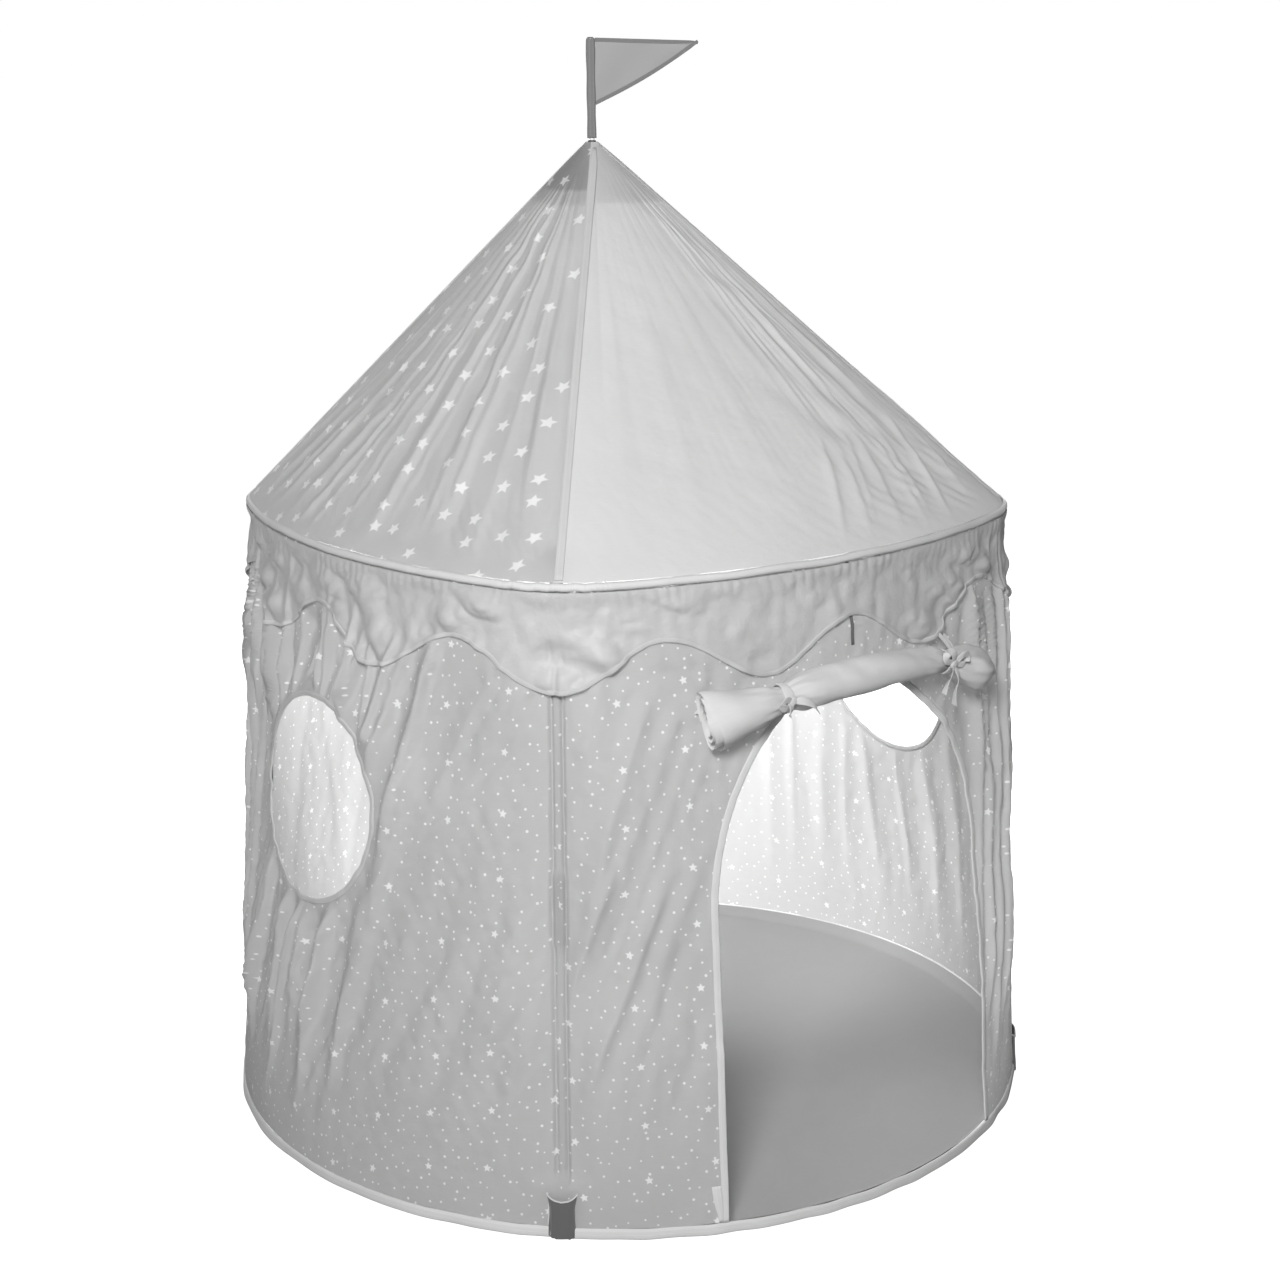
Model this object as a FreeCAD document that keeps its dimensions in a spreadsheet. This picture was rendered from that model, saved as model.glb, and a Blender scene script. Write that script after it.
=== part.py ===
import FreeCAD, Part
import math
import os
import re
import Sketcher
from FreeCAD import Placement, Rotation, Vector

# Round play tent: four upright legs carry a sprung eave hoop and four sloping roof poles, which
# meet in a hub under the roof's point. Cloth panels make the wall, the roof, the scalloped
# valance and the floor. The door cloth is rolled up over an arched doorway in the front wall,
# and a pennant stands on a stick that plugs into the hub.
#
# Axes: origin at the middle of the floor, +Z up, the doorway faces -Y. Millimetres.
# In plan the base is a circle, and the eave is a rounded square whose corners are the poles.

doc = FreeCAD.newDocument("play_tent")
sheet = doc.addObject("Spreadsheet::Sheet", "Sizes")

DIMENSIONS = [
    ("base_radius", 517.0, "wall's outer face at the hem"),
    ("eave_mid_radius", 435.0, "hoop centre line midway between two poles"),
    ("eave_pole_radius", 484.0, "hoop centre line beside a pole"),
    ("eave_height", 764.0, "hoop centre line above the floor"),
    ("apex_height", 1212.0, "top edge of the roof cloth"),
    ("apex_shift_x", -23.6, "the roof's point leans to one side"),
    ("apex_shift_y", 17.5, "the roof's point leans to the back"),
    ("apex_hole_radius", 6.0, "hole in the roof cloth round the hub's boss"),
    ("cloth_thickness", 1.6, "wall and roof cloth with its coating, as a solid"),
    ("seam_gap", 0.3, "gap left between two sewn pieces"),
    ("floor_thickness", 1.5, "floor sheet"),
    ("hem_radius", 520.0, "outer face of the base hem"),
    ("hem_height", 14.0, "base hem"),
    ("hem_thickness", 5.6, "base hem, folded cloth and binding"),
    ("piping_radius", 5.0, "sewn channel that holds the hoop"),
    ("piping_bore_radius", 2.4, "inside of the sewn channel"),
    ("hoop_rod_radius", 2.0, "spring rod of the eave hoop"),
    ("valance_gap", 2.8, "valance stands this far off the wall"),
    ("valance_thickness", 1.2, "valance cloth"),
    ("valance_mean_height", 670.5, "middle of the valance's wavy edge"),
    ("scallop_depth", 26.5, "half the height of one wave"),
    ("scallop_count", 12, "waves round the tent"),
    ("valance_binding_width", 7.0, "tape on the valance's edge"),
    ("door_half_width", 206.0, "doorway at the hem"),
    ("door_spring_half_width", 197.0, "doorway where the arch starts"),
    ("door_spring_height", 370.0, "where the arch starts"),
    ("door_top_height", 636.0, "top of the arch"),
    ("door_binding_width", 9.0, "tape round the doorway"),
    ("window_radius", 121.0, "round side windows"),
    ("window_height", 461.0, "middle of a side window"),
    ("window_binding_width", 7.0, "tape round a window"),
    ("foot_circle_radius", 504.0, "foot of a leg's axis from the tent's middle"),
    ("elbow_circle_radius", 471.0, "top of a leg's axis from the tent's middle"),
    ("tube_radius", 4.75, "leg and roof pole tubes"),
    ("tube_bore_radius", 3.55, "inside of the tubes"),
    ("socket_bore_radius", 4.8, "bores that take a tube end"),
    ("joiner_radius", 6.2, "outside of a tube joiner"),
    ("joiner_length", 84.0, "tube joiner"),
    ("leg_joint_height", 395.0, "where the two tubes of a leg meet"),
    ("elbow_height", 757.0, "where leg axis and roof pole axis cross"),
    ("elbow_radius", 7.2, "outside of the elbow sockets"),
    ("elbow_arm", 45.0, "elbow socket end from the crossing point"),
    ("elbow_bend_radius", 18.0, "bend of the elbow's centre line"),
    ("elbow_stop", 11.0, "tube end from the crossing point"),
    ("hub_height", 1183.0, "where the four roof pole axes meet"),
    ("hub_radius", 15.0, "middle of the hub"),
    ("hub_depth", 24.0, "middle of the hub, top to bottom"),
    ("hub_arm_radius", 7.5, "hub's four sockets"),
    ("hub_arm", 50.0, "hub socket end from its middle"),
    ("hub_stop", 18.0, "tube end from the hub's middle"),
    ("hub_boss_radius", 5.0, "boss that holds the flag stick"),
    ("hub_boss_top", 1214.0, "top of the boss"),
    ("stick_radius", 3.0, "flag stick"),
    ("stick_clearance", 0.05, "running clearance round the stick"),
    ("stick_foot", 1176.0, "foot of the flag stick"),
    ("flag_top", 1338.0, "top of the flag's sleeve"),
    ("flag_sleeve_foot", 1216.5, "foot of the flag's sleeve"),
    ("flag_sleeve_radius", 5.8, "flag's sleeve"),
    ("flag_heel", 1254.0, "lower corner of the pennant on its sleeve"),
    ("flag_length", 133.0, "pennant's tip from the stick"),
    ("flag_tip_drop", 5.0, "pennant's tip below its top corner"),
    ("flag_thickness", 1.2, "pennant cloth"),
    ("flag_binding_width", 5.5, "tape round the pennant"),
    ("flag_heading", -36.6, "direction of the pennant about +Z, degrees from +X"),
    ("foot_cap_radius", 6.4, "cap on a leg's foot"),
    ("foot_cap_height", 20.0, "cap on a leg's foot"),
    ("foot_cap_floor", 2.0, "closed bottom of the cap"),
    ("pocket_width", 38.0, "foot pocket, along the wall"),
    ("pocket_depth", 17.5, "foot pocket, towards the middle"),
    ("pocket_height", 56.0, "foot pocket"),
    ("pocket_thickness", 1.5, "foot pocket cloth"),
    ("patch_foot", 1138.0, "lower edge of the lining patch at the apex"),
    ("patch_top", 1204.0, "upper edge of the lining patch"),
    ("roll_radius", 23.0, "rolled door cloth"),
    ("roll_offset", 28.0, "roll's centre line from the wall"),
    ("roll_height", 637.0, "roll's centre line at the middle of the door"),
    ("roll_droop", 34.0, "the roll's ends hang this much lower"),
    ("roll_half_width", 213.0, "roll's end from the middle of the door"),
    ("tie_position", 117.0, "tie from the middle of the door"),
    ("tie_width", 14.0, "tie ribbon"),
    ("tie_thickness", 1.4, "tie ribbon"),
    ("tie_knot", 16.0, "knot block of the bow"),
    ("hanger_width", 5.0, "tape that the middle of the roll hangs by"),
    ("hanger_thickness", 1.0, "the same tape"),
    ("hanger_foot", 663.0, "lower end of the same tape"),
]
for row, (alias, value, note) in enumerate(DIMENSIONS, start=1):
    sheet.set("A%d" % row, note)
    sheet.set("B%d" % row, str(value))
    sheet.setAlias("B%d" % row, alias)
doc.recompute()

SIZE = {alias: float(sheet.get(alias)) for alias, value, note in DIMENSIONS}
UP = Vector(0, 0, 1)
POLES = {"front_left": -135.0, "front_right": -45.0, "back_right": 45.0, "back_left": 135.0}
SIDES = {"front": -90.0, "right": 0.0, "back": 90.0, "left": 180.0}
CORNER = 22.5           # degrees of plan angle where the flat arc turns into the corner arc
QUADRANT = 45.0         # degrees from the middle of a side to a pole
BOOLEAN_OVERRUN = 5.0   # cutters run past what they cut by this much
APEX = Vector(SIZE["apex_shift_x"], SIZE["apex_shift_y"], SIZE["apex_height"])
HUB = Vector(SIZE["apex_shift_x"], SIZE["apex_shift_y"], SIZE["hub_height"])
nodes = []


# ---------------------------------------------------------------- helpers

def bound(obj, prop, expression):
    """Bind one property to the sheet. Each alias in the expression gets the sheet's name."""
    words = re.split(r"(\w+)", expression)
    named = ["Sizes." + word if word in SIZE else word for word in words]
    obj.setExpression(prop, "".join(named))


def keep(obj, label):
    """Give a finished sub-part its label and put it on the list of nodes."""
    obj.Label = label
    nodes.append(obj)
    return obj


def feature(label, shape, placement=None):
    """A sub-part whose shape comes from Part's own functions."""
    obj = doc.addObject("Part::Feature", label)
    obj.Shape = shape
    if placement is not None:
        obj.Placement = placement
    return keep(obj, label)


def turned(angle, position=Vector(0, 0, 0)):
    return Placement(position, Rotation(UP, angle))


def along(start, direction):
    """Placement that takes local +Z to a direction."""
    return Placement(start, Rotation(UP, direction))


def heading(angle):
    return Vector(math.cos(math.radians(angle)), math.sin(math.radians(angle)), 0)


def origin_plane(body, role):
    return next(item for item in body.Origin.OriginFeatures if item.Role == role)


def new_sketch(body, name, role):
    sketch = body.newObject("Sketcher::SketchObject", name)
    sketch.AttachmentSupport = (origin_plane(body, role), [""])
    sketch.MapMode = "FlatFace"
    return sketch


def add_circle(sketch, radius):
    """A circle about the sketch's origin whose radius is bound to the sheet."""
    index = sketch.addGeometry(Part.Circle(Vector(0, 0, 0), UP, 1.0))
    sketch.addConstraint(Sketcher.Constraint("Coincident", index, 3, -1, 1))
    number = sketch.addConstraint(Sketcher.Constraint("Radius", index, 1.0))
    bound(sketch, "Constraints[%d]" % number, radius)


def add_outline(sketch, points):
    """A closed outline of straight lines."""
    first = sketch.GeometryCount
    count = len(points)
    for index in range(count):
        a = Vector(points[index][0], points[index][1], 0)
        b = Vector(points[(index + 1) % count][0], points[(index + 1) % count][1], 0)
        sketch.addGeometry(Part.LineSegment(a, b))
    for index in range(count):
        following = first + (index + 1) % count
        sketch.addConstraint(Sketcher.Constraint("Coincident", first + index, 2, following, 1))


def tube_body(name, outer, inner, length):
    """Tube or rod along local +Z; inner is None for a rod."""
    body = doc.addObject("PartDesign::Body", name)
    sketch = new_sketch(body, name + "_section", "XY_Plane")
    add_circle(sketch, outer)
    if inner is not None:
        add_circle(sketch, inner)
    pad = body.newObject("PartDesign::Pad", name + "_pad")
    pad.Profile = sketch
    if isinstance(length, str):
        bound(pad, "Length", length)
    else:
        pad.Length = length
    body.Tip = pad
    return body


def cylinder(name, radius, height, placement):
    obj = doc.addObject("Part::Cylinder", name)
    bound(obj, "Radius", radius)
    bound(obj, "Height", height)
    obj.Placement = placement
    return obj


def fused(name, members):
    obj = doc.addObject("Part::MultiFuse", name)
    obj.Shapes = members
    return obj


def cut(name, base, tool):
    obj = doc.addObject("Part::Cut", name)
    obj.Base = base
    obj.Tool = tool
    return obj


def group(label, members):
    obj = doc.addObject("Part::Compound", label)
    obj.Links = members
    return keep(obj, label)


# ---------------------------------------------------------------- plan of the cloth

class Plan:
    """Outline of one side of the tent, its middle on local +X.

    A flat arc joins two half corner arcs, tangent at CORNER degrees. The three arcs come from
    the radius at the middle and the radius at the poles, and a circle is the case where the
    two are equal. Growing both radii gives the parallel outline.
    """

    def __init__(self, mid, pole, height, centre=Vector(0, 0, 0)):
        corner = math.radians(CORNER)
        share = math.sin(corner) / math.sin(2 * corner)
        gain = (pole - mid) / (2 * share - 1)
        self.flat_radius = (mid + pole + gain) / 2
        self.corner_radius = (mid + pole - gain) / 2
        self.shift = share * gain
        self.height = height
        self.centre = Vector(centre.x, centre.y, 0)
        self.mid = mid
        self.pole = pole

    def grown(self, amount):
        return Plan(self.mid + amount, self.pole + amount, self.height, self.centre)

    def arc_centre(self, angle):
        if abs(angle) <= CORNER:
            return self.centre + Vector(-self.shift, 0, self.height)
        turn = math.copysign(QUADRANT, angle)
        return self.centre + heading(turn) * self.shift + Vector(0, 0, self.height)

    def point(self, angle):
        radius = self.flat_radius if abs(angle) <= CORNER else self.corner_radius
        return self.arc_centre(angle) + heading(angle) * radius

    def arcs(self, half):
        spans = [(-half, -CORNER), (-CORNER, CORNER), (CORNER, half)]
        edges = []
        for start, end in spans:
            middle = (start + end) / 2
            centre = self.arc_centre(middle)
            radius = self.flat_radius if abs(middle) <= CORNER else self.corner_radius
            ends = [centre + heading(angle) * radius for angle in (start, middle, end)]
            edges.append(Part.Arc(ends[0], ends[1], ends[2]).toShape())
        return edges


def strip(outer, inner, half):
    """Closed outline between two parallel plans over one side."""
    far = outer.arcs(half)
    near = inner.arcs(half)
    start = Part.makeLine(near[0].Vertexes[0].Point, far[0].Vertexes[0].Point)
    end = Part.makeLine(far[-1].Vertexes[-1].Point, near[-1].Vertexes[-1].Point)
    return Part.Wire(far + [end] + near[::-1] + [start])


def side_shell(low, high, thickness, half):
    """Cloth of one side between two plans, which are its outer faces."""
    wires = [strip(plan, plan.grown(-thickness), half) for plan in (low, high)]
    return Part.makeLoft(wires, True, True)


def seam_half_angle(radius):
    return QUADRANT - math.degrees(SIZE["seam_gap"] / 2 / radius)


WALL_FOOT = SIZE["hem_height"] + SIZE["seam_gap"]
WALL_TOP = SIZE["eave_height"] - SIZE["piping_radius"] - SIZE["seam_gap"]


def wall_plan(height):
    """Outer face of the wall at a height: straight lines from the round base to the eave."""
    part = (height - WALL_FOOT) / (WALL_TOP - WALL_FOOT)
    mid = SIZE["base_radius"] + part * (SIZE["eave_mid_radius"] - SIZE["base_radius"])
    pole = SIZE["base_radius"] + part * (SIZE["eave_pole_radius"] - SIZE["base_radius"])
    return Plan(mid, pole, height)


def wall_side():
    half = seam_half_angle(SIZE["eave_mid_radius"])
    return side_shell(wall_plan(WALL_FOOT), wall_plan(WALL_TOP), SIZE["cloth_thickness"], half)


# ---------------------------------------------------------------- openings in the wall

def outward_prism(wire):
    """Extrude an outline drawn at local x = 0 out through the wall."""
    reach = SIZE["hem_radius"] + 10 * BOOLEAN_OVERRUN
    return Part.Face(wire).extrude(Vector(reach, 0, 0))


def arch(grow):
    """Doorway: sides that lean in a little, then half an ellipse."""
    spring = SIZE["door_spring_height"]
    foot = WALL_FOOT - BOOLEAN_OVERRUN
    low = SIZE["door_half_width"] + grow
    high = SIZE["door_spring_half_width"] + grow
    centre = Vector(0, 0, spring)
    crown = Vector(0, 0, SIZE["door_top_height"] + grow)
    ellipse = Part.Ellipse(crown, Vector(0, high, spring), centre)
    half_ellipse = Part.ArcOfEllipse(ellipse, -math.pi / 2, math.pi / 2).toShape()
    ends = [vertex.Point for vertex in half_ellipse.Vertexes]
    right_foot = Vector(0, math.copysign(low, ends[-1].y), foot)
    left_foot = Vector(0, math.copysign(low, ends[0].y), foot)
    lines = [Part.makeLine(ends[-1], right_foot), Part.makeLine(right_foot, left_foot),
             Part.makeLine(left_foot, ends[0])]
    return outward_prism(Part.Wire([half_ellipse] + lines))


def round_window(grow):
    circle = Part.Circle(Vector(0, 0, SIZE["window_height"]), Vector(1, 0, 0),
                         SIZE["window_radius"] + grow)
    return outward_prism(Part.Wire(circle.toShape()))


def scallops(raise_by):
    """Everything below the valance's scalloped edge over one side, with a low at each pole."""
    plan = wall_plan(SIZE["valance_mean_height"]).grown(SIZE["valance_gap"])
    mean = (plan.pole + plan.mid) / 2
    swell = (plan.pole - plan.mid) / 2
    half_wave = 180.0 / SIZE["scallop_count"]
    start = QUADRANT + half_wave / 2

    def edge_point(angle):
        swing = math.cos(math.radians(SIZE["scallop_count"] * (angle - QUADRANT)))
        radius = mean - swell * math.cos(math.radians(4 * angle))
        height = SIZE["valance_mean_height"] - SIZE["scallop_depth"] * swing + raise_by
        return Vector(0, radius * math.sin(math.radians(angle)), height)

    arcs = []
    for number in range(round(2 * start / half_wave)):
        angle = number * half_wave - start
        points = [edge_point(angle + part * half_wave) for part in (0, 0.5, 1)]
        arcs.append(Part.Arc(points[0], points[1], points[2]).toShape())
    first = edge_point(-start)
    last = edge_point(start)
    floor = SIZE["valance_mean_height"] - 4 * SIZE["scallop_depth"]
    corners = [last, Vector(0, last.y, floor), Vector(0, first.y, floor), first]
    lines = [Part.makeLine(corners[i], corners[i + 1]) for i in range(3)]
    return outward_prism(Part.Wire(arcs + lines))


# ---------------------------------------------------------------- cloth

def make_walls():
    for side, angle in SIDES.items():
        cloth = wall_side()
        if side == "front":
            opening = arch(SIZE["door_binding_width"])
            ring = cloth.common(opening).cut(arch(0))
            feature("door_binding", ring, turned(angle))
            cloth = cloth.cut(opening)
        if side in ("left", "right"):
            opening = round_window(SIZE["window_binding_width"])
            ring = cloth.common(opening).cut(round_window(0))
            feature("window_binding_" + side, ring, turned(angle))
            cloth = cloth.cut(opening)
        feature("wall_" + side, cloth, turned(angle))


def make_floor_and_hem():
    sheet_body = tube_body("floor_sheet", "hem_radius - hem_thickness - seam_gap", None,
                           "floor_thickness")
    keep(sheet_body, "floor_sheet")
    hem = tube_body("base_hem", "hem_radius", "hem_radius - hem_thickness", "hem_height")
    keep(hem, "base_hem")


def make_valance():
    half = seam_half_angle(SIZE["eave_mid_radius"])
    stand_off = SIZE["valance_gap"] + SIZE["valance_thickness"]
    foot = SIZE["valance_mean_height"] - 2 * SIZE["scallop_depth"]
    low = wall_plan(foot).grown(stand_off)
    high = wall_plan(WALL_TOP).grown(stand_off)
    cloth = side_shell(low, high, SIZE["valance_thickness"], half)
    edge = scallops(SIZE["valance_binding_width"])
    panel = cloth.cut(edge)
    binding = cloth.common(edge).cut(scallops(0))
    for label, shape in (("valance", panel), ("valance_binding", binding)):
        copies = []
        for angle in SIDES.values():
            copy = shape.copy()
            copy.rotate(Vector(0, 0, 0), UP, angle)
            copies.append(copy)
        feature(label, Part.makeCompound(copies))


def roof_plan(height, inset=0.0):
    """Outer face of the roof cloth: straight lines from the eave to the shifted apex."""
    foot = SIZE["eave_height"] + SIZE["piping_radius"] + SIZE["seam_gap"]
    part = (height - foot) / (SIZE["apex_height"] - foot)
    top = SIZE["apex_hole_radius"] + SIZE["cloth_thickness"]
    mid = SIZE["eave_mid_radius"] + part * (top - SIZE["eave_mid_radius"])
    pole = SIZE["eave_pole_radius"] + part * (top - SIZE["eave_pole_radius"])
    return Plan(mid - inset, pole - inset, height, Vector(APEX.x, APEX.y, 0) * part)


def roof_side(low, high, inset, thickness, angle):
    """Cloth of one roof side between two heights, in the frame of that side."""
    half = seam_half_angle(SIZE["eave_mid_radius"])
    back = Rotation(UP, -angle)
    plans = []
    for height in (low, high):
        plan = roof_plan(height, inset)
        plans.append(Plan(plan.mid, plan.pole, height, back.multVec(plan.centre)))
    return side_shell(plans[0], plans[1], thickness, half)


def make_roof():
    foot = SIZE["eave_height"] + SIZE["piping_radius"] + SIZE["seam_gap"]
    for side, angle in SIDES.items():
        cloth = roof_side(foot, SIZE["apex_height"], 0, SIZE["cloth_thickness"], angle)
        feature("roof_panel_" + side, cloth, turned(angle))
    lining = []
    inset = SIZE["cloth_thickness"] + 2 * SIZE["seam_gap"]
    for angle in SIDES.values():
        piece = roof_side(SIZE["patch_foot"], SIZE["patch_top"], inset,
                          SIZE["cloth_thickness"], angle)
        piece.rotate(Vector(0, 0, 0), UP, angle)
        lining.append(piece)
    feature("apex_lining", Part.makeCompound(lining))


# ---------------------------------------------------------------- eave hoop

def hoop_segments(outer, inner, sides):
    """Ring or rod segments that follow the eave, made by turning their section."""
    eave = Plan(SIZE["eave_mid_radius"], SIZE["eave_pole_radius"], SIZE["eave_height"])
    solids = []
    for side_angle in sides:
        for start, end in [(-QUADRANT, -CORNER), (-CORNER, CORNER), (CORNER, QUADRANT)]:
            centre = eave.arc_centre((start + end) / 2)
            radius = eave.flat_radius if abs(start + end) < CORNER else eave.corner_radius
            spoke = heading(start)
            normal = UP.cross(spoke)
            middle = centre + spoke * radius
            section = Part.Face(Part.Wire(Part.Circle(middle, normal, outer).toShape()))
            if inner:
                section = section.cut(Part.Face(Part.Wire(
                    Part.Circle(middle, normal, inner).toShape())))
            piece = section.revolve(centre, UP, end - start)
            piece.rotate(Vector(0, 0, 0), UP, side_angle)
            solids.append(piece.Solids[0])
    return solids[0].multiFuse(solids[1:])


def make_eave():
    everywhere = [SIDES["front"], SIDES["right"], SIDES["back"], SIDES["left"]]
    piping = hoop_segments(SIZE["piping_radius"], SIZE["piping_bore_radius"], everywhere)
    feature("eave_piping", piping)
    halves = {"eave_hoop_front": ["front", "right"], "eave_hoop_back": ["back", "left"]}
    for label, sides in halves.items():
        rod = hoop_segments(SIZE["hoop_rod_radius"], 0, [SIDES[side] for side in sides])
        ends = [SIDES[sides[0]] - QUADRANT, SIDES[sides[1]] + QUADRANT]
        width = SIZE["seam_gap"]
        reach = 2 * SIZE["piping_radius"]
        for angle in ends:
            corner = Vector(SIZE["eave_pole_radius"] - reach, -width / 2,
                            SIZE["eave_height"] - reach)
            slot = Part.makeBox(2 * reach, width, 2 * reach, corner)
            slot.rotate(Vector(0, 0, 0), UP, angle)
            rod = rod.cut(slot)
        feature(label, rod)


# ---------------------------------------------------------------- frame

def leg_axis(angle):
    """Foot, crossing point with the roof pole and unit direction of a leg, which leans in."""
    foot = heading(angle) * SIZE["foot_circle_radius"]
    crossing = heading(angle) * SIZE["elbow_circle_radius"] + UP * SIZE["elbow_height"]
    return foot, crossing, (crossing - foot).normalize()


def on_leg(angle, height):
    """Placement on a leg's axis at a height, with local +Z up the leg."""
    foot, crossing, direction = leg_axis(angle)
    return along(foot + direction * (height / direction.z), direction)


def make_legs():
    joiners = []
    caps = []
    cap_foot = SIZE["floor_thickness"] + 2 * SIZE["seam_gap"]
    tube_foot = cap_foot + SIZE["foot_cap_floor"]
    joint = SIZE["leg_joint_height"]
    for name, angle in POLES.items():
        foot, crossing, direction = leg_axis(angle)
        lower_length = (joint - tube_foot) / direction.z
        lower = tube_body("leg_lower_" + name, "tube_radius", "tube_bore_radius", lower_length)
        lower.Placement = on_leg(angle, tube_foot)
        keep(lower, "leg_lower_" + name)
        upper_foot = joint + SIZE["seam_gap"]
        upper_length = (crossing.z - upper_foot) / direction.z - SIZE["elbow_stop"]
        upper = tube_body("leg_upper_" + name, "tube_radius", "tube_bore_radius", upper_length)
        upper.Placement = on_leg(angle, upper_foot)
        keep(upper, "leg_upper_" + name)
        joiner = tube_body("leg_joiner_" + name, "joiner_radius", "socket_bore_radius",
                           "joiner_length")
        joiner.Placement = on_leg(angle, joint - SIZE["joiner_length"] / 2)
        joiners.append(joiner)
        outside = cylinder("cap_outside_" + name, "foot_cap_radius", "foot_cap_height",
                           on_leg(angle, cap_foot))
        inside = cylinder("cap_inside_" + name, "socket_bore_radius", "foot_cap_height",
                          on_leg(angle, cap_foot + SIZE["foot_cap_floor"]))
        caps.append(cut("foot_cap_" + name, outside, inside))
    group("leg_joiners", joiners)
    group("foot_caps", caps)


def roof_pole_axis(angle):
    """Crossing point at the eave and unit direction towards the hub."""
    start = leg_axis(angle)[1]
    return start, (HUB - start).normalize()


def make_elbow(name, angle):
    """Bent tube: a socket for the leg, a bend and a socket for the roof pole."""
    crossing, roof_direction = roof_pole_axis(angle)
    leg_direction = leg_axis(angle)[2]
    turn = leg_direction.getAngle(roof_direction)
    tangent = SIZE["elbow_bend_radius"] * math.tan(turn / 2)
    arm = SIZE["elbow_arm"]
    body = doc.addObject("PartDesign::Body", "eave_elbow_" + name)
    section = new_sketch(body, "elbow_section_" + name, "XY_Plane")
    add_circle(section, "elbow_radius")
    add_circle(section, "socket_bore_radius")
    path = new_sketch(body, "elbow_path_" + name, "XZ_Plane")
    far_direction = Vector(math.sin(turn), math.cos(turn), 0)
    corner = Vector(0, arm, 0)
    bend_start = Vector(0, arm - tangent, 0)
    bend_centre = bend_start + Vector(SIZE["elbow_bend_radius"], 0, 0)
    path.addGeometry(Part.LineSegment(Vector(0, 0, 0), bend_start))
    path.addGeometry(Part.ArcOfCircle(
        Part.Circle(bend_centre, UP, SIZE["elbow_bend_radius"]), math.pi - turn, math.pi))
    path.addGeometry(Part.LineSegment(corner + far_direction * tangent,
                                      corner + far_direction * arm))
    pipe = body.newObject("PartDesign::AdditivePipe", "elbow_pipe_" + name)
    pipe.Profile = section
    pipe.Spine = path
    body.Tip = pipe
    normal = leg_direction.cross(roof_direction).normalize()
    bend_side = normal.cross(leg_direction)
    body.Placement = Placement(crossing - leg_direction * arm,
                               Rotation(bend_side, normal, leg_direction, "ZXY"))
    keep(body, "eave_elbow_" + name)


def make_roof_poles():
    joiners = []
    for name, angle in POLES.items():
        crossing, direction = roof_pole_axis(angle)
        start = crossing + direction * SIZE["elbow_stop"]
        end = HUB - direction * SIZE["hub_stop"]
        length = (end - start).Length
        half = (length - SIZE["seam_gap"]) / 2
        middle = start + direction * (length / 2)
        lower = tube_body("roof_pole_lower_" + name, "tube_radius", "tube_bore_radius", half)
        lower.Placement = along(start, direction)
        keep(lower, "roof_pole_lower_" + name)
        upper = tube_body("roof_pole_upper_" + name, "tube_radius", "tube_bore_radius", half)
        upper.Placement = along(end - direction * half, direction)
        keep(upper, "roof_pole_upper_" + name)
        joiner = tube_body("roof_joiner_" + name, "joiner_radius", "socket_bore_radius",
                           "joiner_length")
        joiner.Placement = along(middle - direction * (SIZE["joiner_length"] / 2), direction)
        joiners.append(joiner)
        make_elbow(name, angle)
    group("roof_pole_joiners", joiners)


def make_hub():
    """Moulded hub: a round middle, four sockets and a boss with a bore for the flag stick."""
    below = HUB - UP * (SIZE["hub_depth"] / 2)
    solid = [cylinder("hub_middle", "hub_radius", "hub_depth", Placement(below, Rotation())),
             cylinder("hub_boss", "hub_boss_radius", "hub_boss_top - hub_height",
                      Placement(HUB, Rotation()))]
    stick_foot = Vector(HUB.x, HUB.y, SIZE["stick_foot"] - SIZE["seam_gap"])
    bores = [cylinder("hub_stick_bore", "stick_radius + stick_clearance",
                      "hub_boss_top - stick_foot + 5", Placement(stick_foot, Rotation()))]
    for name, angle in POLES.items():
        outward = -roof_pole_axis(angle)[1]
        solid.append(cylinder("hub_arm_" + name, "hub_arm_radius", "hub_arm",
                              along(HUB, outward)))
        bores.append(cylinder("hub_bore_" + name, "socket_bore_radius", "hub_arm",
                              along(HUB + outward * (SIZE["hub_stop"] - SIZE["seam_gap"]),
                                    outward)))
    hub = cut("apex_hub", fused("hub_solid", solid), fused("hub_bores", bores))
    keep(hub, "apex_hub")


def make_foot_pockets():
    """Open-topped cloth pocket against the wall, round the foot of each leg."""
    inner_face = SIZE["base_radius"] - SIZE["cloth_thickness"] - SIZE["hem_thickness"] / 2
    near = inner_face - SIZE["pocket_depth"]
    for name, angle in POLES.items():
        outside = doc.addObject("Part::Box", "pocket_outside_" + name)
        inside = doc.addObject("Part::Box", "pocket_inside_" + name)
        for box, depth, width in (
                (outside, "pocket_depth", "pocket_width"),
                (inside, "pocket_depth", "pocket_width - 2 * pocket_thickness")):
            bound(box, "Length", depth)
            bound(box, "Width", width)
            bound(box, "Height", "pocket_height")
        lift = SIZE["floor_thickness"] + SIZE["seam_gap"]
        spin = turned(angle)
        outside.Placement = spin.multiply(
            Placement(Vector(near, -SIZE["pocket_width"] / 2, lift), Rotation()))
        hollow = SIZE["pocket_width"] / 2 - SIZE["pocket_thickness"]
        inside.Placement = spin.multiply(
            Placement(Vector(near + SIZE["pocket_thickness"], -hollow, lift), Rotation()))
        keep(cut("foot_pocket_" + name, outside, inside), "foot_pocket_" + name)


# ---------------------------------------------------------------- door roll

def roll_path():
    """Arc of the roll's centre line in the frame of the front side."""
    offset = SIZE["roll_offset"]
    middle = wall_plan(SIZE["roll_height"]).grown(offset).point(0)
    end_plan = wall_plan(SIZE["roll_height"] - SIZE["roll_droop"]).grown(offset)
    angle = math.degrees(math.asin(SIZE["roll_half_width"] / end_plan.flat_radius))
    return Part.Arc(end_plan.point(-angle), middle, end_plan.point(angle))


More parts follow.
